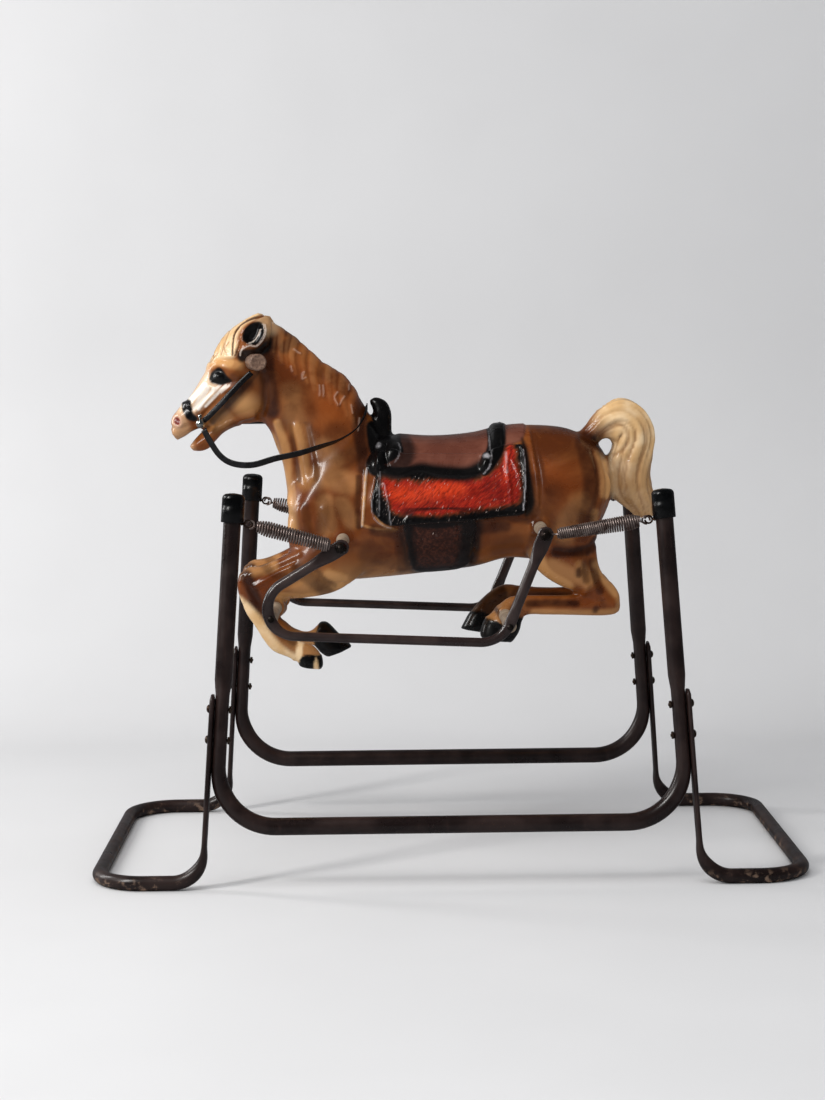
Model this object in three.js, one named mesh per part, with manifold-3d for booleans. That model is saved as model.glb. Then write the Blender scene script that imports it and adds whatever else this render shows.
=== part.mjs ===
// Spring-hung rocking horse: a moulded plastic horse that hangs on four coil springs
// between two bent-tube side frames, which stand on two U-shaped base frames.
//
// Millimetres. +Z is up, the horse faces -X, and its left side is -Y.
// The origin is on the floor, at the middle of the base.
import * as THREE from "three";
import { mergeVertices } from "three/addons/utils/BufferGeometryUtils.js";
import Module from "manifold-3d";

const wasm = await Module();
wasm.setup();

// ---------------------------------------------------------------- driving dimensions

const GAP = 0.3; // clearance between pieces that touch
const WALL = 1.6; // wall of every steel tube
const TUBE_SIDES = 8;

const MAIN_TUBE = 28.6; // outside diameter of the side frames
const BASE_TUBE = 24; // outside diameter of the base frames
const STIRRUP_TUBE = 17.4; // outside diameter of the stirrup bars

const FRAME_BOTTOM_Z = 101.5; // height of the side frames' bottom run
const FRAME_HALF_SPACING = 295; // from the middle to a side frame, at its bottom run
const FRAME_LEAN = Math.atan(0.0645); // the side frames lean in towards the top
const POST_SPLAY = 0.0693; // run over rise of the posts, seen from the side
const POST_HALF_SPAN = 384; // from the middle to a post's line, at the bottom run
const POST_RISE = 533; // from the bottom run to the top of a post, along the lean
const FRAME_BEND = 92; // centre-line radius of the side frames' bends
const PINCH = 22.6; // thickness of the posts where the base legs are bolted on
const PINCH_Z = [165, 205, 318, 334]; // the pinch comes in and goes out over these heights

const CAP_DIAMETER = 37;
const CAP_HEIGHT = 41;

const BASE_HALF_LENGTH = 582.5; // from the middle to the base frames' cross tubes
const BASE_HALF_WIDTH = 304; // from the middle to the base frames' side runs
const BASE_CORNER = 82;
const BASE_LEG_BEND = 52;
const LEG_TOP_Z = 316;
const LEG_THICKNESS = 8.8; // the legs are flattened where they lie on the posts
const LEG_WIDTH = 31;
const LEG_BOLT_Z = [242.5, 292.5];
const LEG_BOLT = 6.4;
const NUT = 12.4; // across the corners
const NUT_HEIGHT = 4;

const STIRRUP_Y = 240; // from the middle to a stirrup bar
const ROD = 9.5;
const RIVET_ROD = 8;
const SPACER = 22;
const PLATE = 7; // thickness of the stirrup bars' flattened ends
const PLATE_WIDTH = 26;
const RIVET_PLATE = 14; // thickness of the stirrup bars where a rivet goes through

const ROD_FRONT_UPPER = [-175, 550];
const ROD_REAR_UPPER = [159, 567];
const ROD_FRONT_LOWER = [-291, 434];
const ROD_REAR_LOWER = [100, 416];

const SPRING_Z = 592; // height of the screw eyes in the posts
const SPRING_OUTER = 27; // outside diameter of the coils
const SPRING_WIRE = 3.2;
const EYE_RING = 5.9; // centre-line radius of a screw eye's ring
const EYE_NECK = 5.5; // length of a screw eye's shank between its ring and the post

const SHELL = 3.2; // wall of the moulded horse
const HANDLE = 28;
const STRAP_WIDTH = 12;
const STRAP = 2;

const END_NAMES = [["front", -1], ["rear", 1]];
const SIDE_NAMES = [["left", -1], ["right", 1]];

// ---------------------------------------------------------------- materials

function material(color, roughness, metalness) {
  return new THREE.MeshStandardMaterial({ color, roughness, metalness });
}

const brownPaint = () => material(0x33211d, 0.38, 0.2);
const blackPlastic = () => material(0x141416, 0.42, 0);
const springSteel = () => material(0x2a1c19, 0.45, 0.6);
const darkSteel = () => material(0x4a403a, 0.4, 0.8);
const spacerPlastic = () => material(0x8f7565, 0.6, 0);
const horsePlastic = () => material(0xa4662f, 0.28, 0);
const handleWood = () => material(0x7d5a4a, 0.6, 0);
const blackVinyl = () => material(0x121214, 0.4, 0);
const brightMetal = () => material(0xc9ced0, 0.2, 1);

// ---------------------------------------------------------------- helpers

const horse = new THREE.Group();
horse.name = "rocking_horse";

function addMesh(name, geometry, look) {
  const mesh = new THREE.Mesh(geometry, look);
  mesh.name = name;
  horse.add(mesh);
}

/** Moves a geometry so that its own +Z axis points along `axis` from `origin`. */
function aimed(geometry, origin, axis) {
  const turn = new THREE.Quaternion().setFromUnitVectors(
    new THREE.Vector3(0, 0, 1),
    axis.clone().normalize(),
  );
  return geometry.applyQuaternion(turn).translate(origin.x, origin.y, origin.z);
}

/** A closed solid from rings of points; a looped one joins its last ring to its first. */
function ringSolid(rings, looped = false) {
  const sides = rings[0].length;
  const points = rings.flat();
  const faces = [];
  const bands = looped ? rings.length : rings.length - 1;
  for (let band = 0; band < bands; band++) {
    const next = ((band + 1) % rings.length) * sides;
    for (let side = 0; side < sides; side++) {
      const a = band * sides + side;
      const b = band * sides + ((side + 1) % sides);
      const c = next + side;
      const d = next + ((side + 1) % sides);
      faces.push(a, b, d, a, d, c);
    }
  }
  if (!looped) {
    const last = (rings.length - 1) * sides;
    for (let side = 1; side < sides - 1; side++) {
      faces.push(0, side + 1, side);
      faces.push(last, last + side, last + side + 1);
    }
  }
  const geometry = new THREE.BufferGeometry().setFromPoints(points);
  geometry.setIndex(faces);
  return facingOut(geometry);
}

/** Turns a closed geometry's faces round where they point inwards. */
function facingOut(geometry) {
  const faces = geometry.index.array;
  const corner = (i) =>
    new THREE.Vector3().fromBufferAttribute(geometry.attributes.position, faces[i]);
  let volume = 0;
  for (let i = 0; i < faces.length; i += 3) {
    volume += corner(i).dot(corner(i + 1).cross(corner(i + 2)));
  }
  if (volume < 0) faces.reverse();
  return geometry;
}

function toSolid(geometry) {
  const bare = geometry.clone();
  bare.deleteAttribute("normal");
  bare.deleteAttribute("uv");
  const merged = mergeVertices(bare, 1e-4);
  return new wasm.Manifold(
    new wasm.Mesh({
      numProp: 3,
      vertProperties: merged.attributes.position.array,
      triVerts: new Uint32Array(merged.index.array),
    }),
  );
}

function toGeometry(solid) {
  const mesh = solid.getMesh();
  const geometry = new THREE.BufferGeometry();
  geometry.setAttribute("position", new THREE.BufferAttribute(mesh.vertProperties, 3));
  geometry.setIndex(new THREE.BufferAttribute(mesh.triVerts, 1));
  return geometry;
}

const joined = (...geometries) =>
  geometries.map(toSolid).reduce((whole, piece) => whole.add(piece));

/** A solid cylinder along `axis`, from `start` over `length`. */
function bar(radius, length, start, axis, sides = TUBE_SIDES) {
  const cylinder = new THREE.CylinderGeometry(radius, radius, length, sides);
  cylinder.rotateX(Math.PI / 2).translate(0, 0, length / 2);
  return aimed(cylinder, start, axis);
}

/** A solid of revolution about `axis`; the profile runs in [radius, height] pairs. */
function turned(profile, origin, axis, sides = TUBE_SIDES) {
  const points = profile.map(([radius, height]) => new THREE.Vector2(radius, height));
  const lathe = new THREE.LatheGeometry(points, sides).rotateX(Math.PI / 2);
  return aimed(facingOut(lathe), origin, axis);
}

/** Corner radius of a many-sided bore that clears a round piece of the given radius. */
const boreRound = (radius, sides) => (radius + GAP) / Math.cos(Math.PI / sides);

/** A plain tube of the given radii along `axis`. */
function sleeve(outer, inner, length, origin, axis, sides = TUBE_SIDES) {
  const profile = [[inner, 0], [outer, 0], [outer, length], [inner, length], [inner, 0]];
  return turned(profile, origin, axis, sides);
}

/** The angles of an n-sided section's corners, with a flat side facing down. */
function sectionAngles(sides) {
  return Array.from(
    { length: sides },
    (_, i) => ((i + 0.5) / sides) * 2 * Math.PI - Math.PI / 2,
  );
}

/**
 * A run of straight lengths with rounded corners, as stations { point, tangent }.
 * Each corner is [Vector3, bend radius]; one with no bend only adds a station.
 */
function bentRun(corners, stepsPerRightAngle) {
  const stations = [];
  const last = corners.length - 1;
  corners.forEach(([corner, radius], i) => {
    const into = i > 0 && corner.clone().sub(corners[i - 1][0]).normalize();
    const out = i < last && corners[i + 1][0].clone().sub(corner).normalize();
    if (!into || !out || !radius) {
      stations.push({ point: corner.clone(), tangent: into || out });
      return;
    }
    const turn = into.angleTo(out);
    const setback = radius * Math.tan(turn / 2);
    const start = corner.clone().addScaledVector(into, -setback);
    const inward = out.clone().addScaledVector(into, -out.dot(into)).normalize();
    const centre = start.clone().addScaledVector(inward, radius);
    const steps = Math.max(2, Math.round((turn / (Math.PI / 2)) * stepsPerRightAngle));
    for (let step = 0; step <= steps; step++) {
      const angle = (turn * step) / steps;
      const point = centre
        .clone()
        .addScaledVector(into, radius * Math.sin(angle))
        .addScaledVector(inward, -radius * Math.cos(angle));
      const tangent = into.clone().multiplyScalar(Math.cos(angle));
      tangent.addScaledVector(inward, Math.sin(angle));
      stations.push({ point, tangent });
    }
  });
  return stations;
}

/** A curve with one sample at each station, so that straight lengths take one step. */
class StationCurve extends THREE.Curve {
  constructor(stations) {
    super();
    this.stations = stations;
  }
  place(t) {
    const spans = this.stations.length - 1;
    const index = Math.min(Math.floor(t * spans + 1e-6), spans - 1);
    return [this.stations[index], this.stations[index + 1], t * spans - index];
  }
  getPoint(t, target = new THREE.Vector3()) {
    const [from, to, part] = this.place(t);
    return target.lerpVectors(from.point, to.point, part);
  }
  getTangent(t, target = new THREE.Vector3()) {
    const [from, to, part] = this.place(t);
    return target.lerpVectors(from.tangent, to.tangent, part).normalize();
  }
  getUtoTmapping(u) {
    return u;
  }
}

/** An open-ended round tube along a run of stations. */
function roundTube(stations, diameter) {
  const ring = (radius, reverse) => {
    const angles = sectionAngles(TUBE_SIDES);
    const points = angles.map(
      (angle) => new THREE.Vector2(radius * Math.cos(angle), radius * Math.sin(angle)),
    );
    return reverse ? points.reverse() : points;
  };
  const section = new THREE.Shape(ring(diameter / 2, false));
  section.holes.push(new THREE.Path(ring(diameter / 2 - WALL, true)));
  return new THREE.ExtrudeGeometry(section, {
    steps: stations.length - 1,
    extrudePath: new StationCurve(stations),
    bevelEnabled: false,
  });
}

/**
 * A tube whose section changes on its way, such as one with flattened ends.
 * `flat(station)` is the direction of the thickness, `size(station)` its [thickness, width].
 */
function shapedTube(stations, flat, size) {
  const angles = sectionAngles(TUBE_SIDES);
  const skin = (inset) =>
    stations.map((station) => {
      const thin = flat(station);
      const wide = new THREE.Vector3().crossVectors(station.tangent, thin).normalize();
      const [thickness, width] = size(station);
      return angles.map((angle) =>
        station.point
          .clone()
          .addScaledVector(thin, (thickness / 2 - inset) * Math.sin(angle))
          .addScaledVector(wide, (width / 2 - inset) * Math.cos(angle)),
      );
    });
  return ringSolid([...skin(0), ...skin(WALL).reverse()], true);
}

const smooth = (from, to, value) => THREE.MathUtils.smoothstep(value, from, to);
const mix = (a, b, part) => a + (b - a) * part;

// ---------------------------------------------------------------- side frames and caps

/** Where a post's centre line is, at a height above the floor. */
function postAt(end, side, z) {
  return new THREE.Vector3(
    end * (POST_HALF_SPAN - POST_SPLAY * (z - FRAME_BOTTOM_Z)),
    side * (FRAME_HALF_SPACING - Math.tan(FRAME_LEAN) * (z - FRAME_BOTTOM_Z)),
    z,
  );
}

function postTop(end, side) {
  return postAt(end, side, FRAME_BOTTOM_Z + POST_RISE * Math.cos(FRAME_LEAN));
}

function postDirection(end, side) {
  return postAt(end, side, 1).sub(postAt(end, side, 0)).normalize();
}

/** How far a post is pinched at a height, from 0 where it is round to 1. */
function pinchAt(z) {
  const [start, full, fading, end] = PINCH_Z;
  return smooth(start, full, z) * (1 - smooth(fading, end, z));
}

function sideFrame(side) {
  const [, full, fading, end] = PINCH_Z;
  const corners = [
    [postTop(-1, side), 0],
    ...[end, fading, full].map((z) => [postAt(-1, side, z), 0]),
    [postAt(-1, side, FRAME_BOTTOM_Z), FRAME_BEND],
    [postAt(1, side, FRAME_BOTTOM_Z), FRAME_BEND],
    ...[full, fading, end].map((z) => [postAt(1, side, z), 0]),
    [postTop(1, side), 0],
  ];
  const geometry = roundTube(bentRun(corners, 4), MAIN_TUBE);
  const { position } = geometry.attributes;
  for (let i = 0; i < position.count; i++) {
    const [x, y, z] = [position.getX(i), position.getY(i), position.getZ(i)];
    const centre = postAt(Math.sign(x), side, z);
    const pinch = pinchAt(z);
    position.setX(i, mix(x, centre.x + ((x - centre.x) * PINCH) / MAIN_TUBE, pinch));
    position.setY(i, mix(y, centre.y + (y - centre.y) * 1.16, pinch));
  }
  return geometry;
}

/** A domed plastic cap, pushed down over the top of a post. */
function postCap(end, side) {
  const outer = CAP_DIAMETER / 2;
  const sides = 12;
  const inner = boreRound(MAIN_TUBE / 2, sides);
  const top = 4.4; // above the end of the post
  const profile = [
    [0, GAP],
    [inner, GAP],
    [inner, top - CAP_HEIGHT],
    [outer, top - CAP_HEIGHT],
    [outer, top - 8],
    [outer - 1.6, top - 3.6],
    [outer - 6, top - 1],
    [0, top],
  ];
  return turned([...profile, profile[0]], postTop(end, side), postDirection(end, side), sides);
}

for (const [sideName, side] of SIDE_NAMES) {
  addMesh(`side_frame_${sideName}`, sideFrame(side), brownPaint());
  for (const [endName, end] of END_NAMES) {
    addMesh(`post_cap_${endName}_${sideName}`, postCap(end, side), blackPlastic());
  }
}

// ---------------------------------------------------------------- base frames

/** A base leg's centre line lies on the outer face of its post. */
function legAt(end, side, z) {
  const standOff = PINCH / 2 + LEG_THICKNESS / 2 + GAP;
  const point = postAt(end, side, z);
  point.x += end * (standOff / Math.cos(Math.atan(POST_SPLAY)));
  return point;
}

function baseFrame(end) {
  const floorLine = (BASE_TUBE / 2) * Math.cos(Math.PI / TUBE_SIDES);
  const corner = (side) =>
    new THREE.Vector3(end * BASE_HALF_LENGTH, side * BASE_HALF_WIDTH, floorLine);
  const foot = (side) => {
    const point = legAt(end, side, floorLine);
    point.y = side * BASE_HALF_WIDTH;
    return point;
  };
  const stations = bentRun(
    [
      [legAt(end, -1, LEG_TOP_Z), 0],
      [legAt(end, -1, 120), 0],
      [foot(-1), BASE_LEG_BEND],
      [corner(-1), BASE_CORNER],
      [corner(1), BASE_CORNER],
      [foot(1), BASE_LEG_BEND],
      [legAt(end, 1, 120), 0],
      [legAt(end, 1, LEG_TOP_Z), 0],
    ],
    4,
  );
  const outward = new THREE.Vector3(end, 0, 0);
  const up = new THREE.Vector3(0, 0, 1);
  // The thickness runs along X on the legs and along Z on the floor.
  const flat = ({ point, tangent }) => {
    const rise = smooth(floorLine, floorLine + BASE_LEG_BEND, point.z);
    const lead = outward.clone().lerp(up, 1 - rise);
    return lead.addScaledVector(tangent, -lead.dot(tangent)).normalize();
  };
  const size = ({ point }) => {
    const part = smooth(20, 72, point.z);
    return [mix(BASE_TUBE, LEG_THICKNESS, part), mix(BASE_TUBE, LEG_WIDTH, part)];
  };
  return shapedTube(stations, flat, size);
}

/** The line of a leg bolt: through the leg and the post, square to the post. */
function legBolt(end, side, z) {
  const direction = new THREE.Vector3(-end, 0, -POST_SPLAY).normalize();
  return { middle: postAt(end, side, z), direction };
}

const boltHoles = (end) =>
  SIDE_NAMES.flatMap(([, side]) =>
    LEG_BOLT_Z.map((z) => {
      const { middle, direction } = legBolt(end, side, z);
      const start = middle.clone().addScaledVector(direction, -40);
      return bar(boreRound(LEG_BOLT / 2, 6), 80, start, direction, 6);
    }),
  );

for (const [endName, end] of END_NAMES) {
  const drilled = boltHoles(end).reduce(
    (frame, hole) => frame.subtract(toSolid(hole)),
    toSolid(baseFrame(end)),
  );
  addMesh(`base_frame_${endName}`, toGeometry(drilled), brownPaint());
}

for (const [sideName, side] of SIDE_NAMES) {
  const frame = horse.getObjectByName(`side_frame_${sideName}`);
  let drilled = toSolid(frame.geometry);
  for (const [, end] of END_NAMES) {
    for (const z of LEG_BOLT_Z) {
      const { middle, direction } = legBolt(end, side, z);
      const start = middle.clone().addScaledVector(direction, -20);
      drilled = drilled.subtract(
        toSolid(bar(boreRound(LEG_BOLT / 2, 6), 40, start, direction, 6)),
      );
    }
    const eyeHole = postAt(end, side, SPRING_Z);
    drilled = drilled.subtract(
      toSolid(bar(SPRING_WIRE / 2 + GAP, 30, eyeHole, new THREE.Vector3(-end, 0, 0), 6)),
    );
  }
  frame.geometry = toGeometry(drilled);
}

// ---------------------------------------------------------------- leg bolts and nuts

for (const [sideName, side] of SIDE_NAMES) {
  for (const [endName, end] of END_NAMES) {
    ["lower", "upper"].forEach((level, i) => {
      const { middle, direction } = legBolt(end, side, LEG_BOLT_Z[i]);
      const post = PINCH / 2 + GAP;
      const headAt = middle
        .clone()
        .addScaledVector(direction, -(post + LEG_THICKNESS + 2 * GAP));
      const shank = post + LEG_THICKNESS + post + NUT_HEIGHT + 1.5;
      const radius = LEG_BOLT / 2;
      const bolt = turned(
        [[0, 4.2], [4, 3.6], [6.4, 1.6], [6.8, 0], [radius, 0], [radius, -shank], [0, -shank], [0, 4.2]],
        headAt,
        direction.clone().negate(),
        8,
      );
      const place = `${level}_${endName}_${sideName}`;
      addMesh(`leg_bolt_${place}`, bolt, darkSteel());
      const nutAt = middle.clone().addScaledVector(direction, post);
      const nut = sleeve(NUT / 2, boreRound(LEG_BOLT / 2, 6), NUT_HEIGHT, nutAt, direction, 6);
      addMesh(`leg_nut_${place}`, nut, darkSteel());
    });
  }
}

// ---------------------------------------------------------------- stirrup bars

/** Outline of a stirrup bar, in [x, z], from the front rod round to the rear rod. */
const STIRRUP_CORNERS = [
  [[-175, 550], 0],
  [[-296.2, 476.6], 45.8],
  [[-296.2, 406.6], 45.8],
  [[87, 389.5], 52],
  [[159, 567], 0],
];

function stirrupStations(side) {
  const corners = STIRRUP_CORNERS.map(([[x, z], radius]) => [
    new THREE.Vector3(x, side * STIRRUP_Y, z),
    radius,
  ]);
  const stations = bentRun(corners, 4);
  // The bar ends are carried past the rods, and its straight lengths get stations where
  // the section changes.
  const past = 13;
  const ends = [stations[0], stations[stations.length - 1]];
  ends[0].point.addScaledVector(ends[0].tangent, -past);
  ends[1].point.addScaledVector(ends[1].tangent, past);
  const cut = (from, to, parts) =>
    parts.map((part) => ({
      point: from.point.clone().lerp(to.point, part),
      tangent: from.tangent.clone(),
    }));
  const before = cut(ends[0], stations[1], [0.2, 0.5]);
  const after = cut(ends[1], stations[stations.length - 2], [0.14, 0.34]).reverse();
  after.forEach((station) => station.tangent.copy(ends[1].tangent));
  return [ends[0], ...before, ...stations.slice(1, -1), ...after, ends[1]];
}

function stirrup(side) {
  const thin = new THREE.Vector3(0, 1, 0);
  const distance = (point, [x, z]) => Math.hypot(point.x - x, point.z - z);
  const size = ({ point }) => {
    const rods = [ROD_FRONT_UPPER, ROD_REAR_UPPER, ROD_FRONT_LOWER, ROD_REAR_LOWER];
    const near = Math.min(...rods.slice(0, 2).map((rod) => distance(point, rod)));
    const nearRivet = Math.min(...rods.slice(2).map((rod) => distance(point, rod)));
    const round = smooth(16, 58, near);
    const pressed = 1 - smooth(10, 36, nearRivet);
    const footRun = 1 - smooth(404, 430, point.z);
    return [
      mix(PLATE, STIRRUP_TUBE, round) * mix(1, 0.72, pressed),
      mix(PLATE_WIDTH, STIRRUP_TUBE, round) * mix(1, 0.88, footRun) + 2 * pressed,
    ];
  };
  let solid = toSolid(shapedTube(stirrupStations(side), () => thin, size));
  const cuts = [
    [ROD_FRONT_UPPER, ROD],
    [ROD_REAR_UPPER, ROD],
    [ROD_FRONT_LOWER, RIVET_ROD],
    [ROD_REAR_LOWER, RIVET_ROD],
  ];
  for (const [[x, z], diameter] of cuts) {
    const start = new THREE.Vector3(x, side * STIRRUP_Y - 15, z);
    solid = solid.subtract(toSolid(bar(diameter / 2 + GAP, 30, start, thin, 10)));
  }
  return toGeometry(solid);
}

for (const [sideName, side] of SIDE_NAMES) {
  addMesh(`stirrup_${sideName}`, stirrup(side), brownPaint());
}

// ---------------------------------------------------------------- cross rods and spacers

/** How far out the horse's own bosses stand at each rod. */
const BOSS = { front_upper: 100, rear_upper: 106, front_lower: 92, rear_lower: 86 };
const RODS = {
  front_upper: ROD_FRONT_UPPER,
  rear_upper: ROD_REAR_UPPER,
  front_lower: ROD_FRONT_LOWER,
  rear_lower: ROD_REAR_LOWER,
};
const NUT_START = STIRRUP_Y + PLATE / 2 + SPRING_WIRE + 2;
const alongY = new THREE.Vector3(0, 1, 0);

for (const [rodName, [x, z]] of Object.entries(RODS)) {
  const upper = rodName.endsWith("upper");
  const radius = (upper ? ROD : RIVET_ROD) / 2;
  const plate = upper ? PLATE : RIVET_PLATE;
  const half = upper ? NUT_START + 7 : STIRRUP_Y + plate / 2 + GAP + 1;
  const shaft = bar(radius, 2 * half, new THREE.Vector3(x, -half, z), alongY, 10);
  if (upper) {
    addMesh(`rod_${rodName}`, shaft, darkSteel());
  } else {
    const head = [[0, 3.4], [3.2, 2.7], [5.2, 1.2], [5.6, 0], [0, 0]];
    const heads = SIDE_NAMES.map(([, side]) =>
      turned(
        head,
        new THREE.Vector3(x, side * (half - 1), z),
        new THREE.Vector3(0, side, 0),
        10,
      ),
    );
    addMesh(`rod_${rodName}`, toGeometry(joined(shaft, ...heads)), darkSteel());
  }
  for (const [sideName, side] of SIDE_NAMES) {
    const start = BOSS[rodName] + GAP;
    const length = STIRRUP_Y - plate / 2 - GAP - start;
    const outward = new THREE.Vector3(0, side, 0);
    const origin = new THREE.Vector3(x, side * start, z);
    addMesh(
      `spacer_${rodName}_${sideName}`,
      sleeve(SPACER / 2, boreRound(radius, TUBE_SIDES), length, origin, outward),
      spacerPlastic(),
    );
    if (upper) {
      // A domed nut closes over the rod's end.
      const bore = radius + GAP;
      const nut = turned(
        [[bore, 0], [9.5, 0], [9.5, 4], [8, 8.4], [4.5, 11], [0, 12], [0, 8], [bore, 8], [bore, 0]],
        new THREE.Vector3(x, side * NUT_START, z),
        outward,
        10,
      );
      addMesh(`dome_nut_${rodName}_${sideName}`, nut, darkSteel());
    }
  }
}

// ---------------------------------------------------------------- springs and screw eyes

/** Middle of a screw eye's ring, in front of its post. */
function eyeAt(end, side) {
  const post = postAt(end, side, SPRING_Z);
  post.x -= end * (MAIN_TUBE / 2 + EYE_NECK + EYE_RING);
  return post;
}

function screwEye(end, side) {
  const centre = eyeAt(end, side);
  const outward = new THREE.Vector3(end, 0, 0);
  const ring = new THREE.TorusGeometry(EYE_RING, SPRING_WIRE / 2, 4, 8);
  ring.rotateX(Math.PI / 2).translate(centre.x, centre.y, centre.z);
  const start = centre.clone().addScaledVector(outward, EYE_RING);
  const shank = bar(SPRING_WIRE / 2, EYE_NECK + 12, start, outward, 5);
  return toGeometry(joined(ring, shank));
}

/**
 * One coil spring as the hollow envelope of its coils. It hangs from a screw eye by a loop
 * at its middle, and from a rod by a loop at its inner side, clear of the stirrup bar.
 */
function coilSpring(end, side, [rodX, rodZ]) {
  const wire = SPRING_WIRE / 2;
  const coil = SPRING_OUTER / 2;
  const eyeHookRadius = 5.6;
  const rodHookRadius = ROD / 2 + wire + 0.7;
  const rodY = side * (STIRRUP_Y + PLATE / 2 + wire + 0.6);
  const rod = new THREE.Vector3(rodX, rodY, rodZ);
  const coilRod = new THREE.Vector3(rodX, rodY + side * (coil - wire), rodZ);
  const eye = eyeAt(end, side);
  const axis = coilRod.clone().sub(eye).normalize();
  const hook = eye.clone().addScaledVector(axis, EYE_RING + eyeHookRadius - 3.6);
  const reach = coilRod.distanceTo(hook);
  const [from, to] = [eyeHookRadius + 3, reach - 17];
  const [bore, neck, taper] = [4, 9, 8];
  const coilAtRod = coil * (end < 0 ? 0.84 : 0.7);
  const profile = [
    [bore, from],
    [neck, from],
    [coil, from + taper],
    [coilAtRod, to - taper],
    [neck, to],
    [bore, to],
    [coilAtRod - SPRING_WIRE, to - taper - 2],
    [coil - SPRING_WIRE, from + taper + 2],
    [bore, from],
  ];
  const up = new THREE.Vector3(0, 0, 1);
  const hookAxis = up.addScaledVector(axis, -up.dot(axis)).normalize();
  const eyeArm = new THREE.Vector3()
    .crossVectors(hookAxis, axis)
    .multiplyScalar(eyeHookRadius)
    .add(hook);
  const rodArm = rod.clone().addScaledVector(axis, -rodHookRadius);
  const coilEnd = hook.clone().addScaledVector(axis, to - 2);
  coilEnd.y -= side * (neck - wire - 0.5);
  const slant = coilEnd.sub(rodArm);
  return toGeometry(
    joined(
      turned(profile, hook, axis, 8),
      aimed(new THREE.TorusGeometry(eyeHookRadius, wire, 4, 8), hook, hookAxis),
      aimed(new THREE.TorusGeometry(rodHookRadius, wire, 4, 10), rod, alongY),
      bar(wire, from + 4, eyeArm, axis, 5),
      bar(wire, slant.length(), rodArm, slant, 5),
    ),
  );
}

for (const [sideName, side] of SIDE_NAMES) {
  for (const [endName, end] of END_NAMES) {
    const rod = end < 0 ? ROD_FRONT_UPPER : ROD_REAR_UPPER;
    const place = `${endName}_${sideName}`;
    addMesh(`screw_eye_${place}`, screwEye(end, side), darkSteel());
    addMesh(`spring_${place}`, coilSpring(end, side, rod), springSteel());
  }
}

// ---------------------------------------------------------------- horse body

/**
 * A solid lofted through elliptical rings. Each ring is [x1, z1, x2, z2, half width]:
 * two opposite points of its outline seen from the side, and half its width along Y.
 */
function loft(rings, y = 0, inset = 0, sides = 12) {
  const angles = Array.from({ length: sides }, (_, i) => (i / sides) * 2 * Math.PI);
  const kept = inset > 0 ? rings.slice(1, -1) : rings;
  return ringSolid(
    kept.map(([x1, z1, x2, z2, halfWidth, shift = 0]) => {
      const one = new THREE.Vector3(x1, y + shift, z1);
      const two = new THREE.Vector3(x2, y + shift, z2);
      const centre = one.clone().add(two).multiplyScalar(0.5);
      const half = one.clone().sub(centre);
      const reach = half.length();
      half.multiplyScalar((reach - inset) / reach);
      return angles.map((angle) => {
        const squareness = 0.86;
        const c = Math.cos(angle);
        const s = Math.sin(angle);
        return centre
          .clone()
          .addScaledVector(half, Math.sign(c) * Math.abs(c) ** squareness)
          .addScaledVector(alongY, (halfWidth - inset) * Math.sign(s) * Math.abs(s) ** squareness);
      });
    }),
  );
}

const TORSO = [
  [-272, 600, -272, 535, 30],
  [-266, 640, -266, 508, 66],
  [-235, 690, -240, 486, 88],
  [-175, 718, -180, 472, 97],
  [-100, 722, -100, 478, 103],
  [-20, 717, -20, 485, 106],
  [50, 724, 50, 497, 104],
  [105, 738, 105, 511, 102],
  [160, 739, 150, 508, 104],
  [212, 733, 205, 500, 105],
  [250, 716, 250, 535, 92],
  [276, 696, 276, 580, 66],
  [289, 668, 289, 612, 30],
];

const NECK = [
  [-262, 575, -95, 650, 84],
  [-273, 626, -104, 722, 84],
  [-280, 668, -140, 776, 66],
  [-290, 702, -168, 824, 54],
  [-300, 732, -206, 854, 47],
  [-315, 752, -250, 896, 43],
  [-322, 770, -292, 922, 42],
];

const HEAD = [
  [-296, 918, -290, 790, 28],
  [-318, 930, -300, 768, 42],
  [-346, 917, -316, 748, 47],
  [-376, 893, -346, 740, 48],
  [-401, 850, -372, 732, 43],
  [-418, 822, -392, 720, 36],
  [-437, 793, -410, 704, 31],
  [-455, 774, -430, 698, 29],
  [-468, 754, -442, 702, 25],
  [-471, 738, -452, 710, 16],
];

const FRONT_LEG = [
  [-150, 600, -130, 500, 30, -8],
  [-215, 590, -150, 482, 36, -2],
  [-262, 545, -190, 456, 36],
  [-310, 514, -240, 447, 31],
  [-343, 502, -285, 445, 29],
  [-357, 470, -276, 440, 26],
  [-345, 428, -284, 419, 21],
  [-331, 403, -292, 401, 18],
  [-309, 369, -278, 390, 16],
];

/** The near and far front feet hang at different angles. */
const LEFT_FRONT_FOOT = [
  [-320, 384, -288, 397, 17],
  [-300, 358, -270, 384, 17],
  [-276, 347, -250, 372, 16],
  [-257, 338, -230, 366, 18],
  [-250, 331, -214, 329, 20],
];

const RIGHT_FRONT_FOOT = [
  [-320, 384, -288, 397, 17],
  [-298, 360, -268, 380, 16],
  [-262, 347, -240, 372, 16],
  [-232, 348, -214, 391, 19],
  [-210, 329, -167, 346, 21],
];

const HIND_LEG = [
  [160, 640, 250, 690, 32, -8],
  [136, 560, 284, 640, 40, -2],
  [142, 512, 268, 590, 40],
  [166, 482, 258, 535, 36],
  [196, 462, 268, 488, 29],
  [226, 450, 290, 458, 23],
  [240, 442, 300, 432, 21],
  [232, 446, 284, 412, 20],
  [190, 446, 196, 413, 16],
  [140, 447, 138, 415, 15],
];

/** The far hind foot reaches further forward than the near one. */
const LEFT_HIND_FOOT = [
  [104, 440, 126, 404, 17],
  [80, 424, 124, 394, 18],
  [62, 403, 121, 374, 22],
  [56, 374, 108, 363, 22],
];

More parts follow.
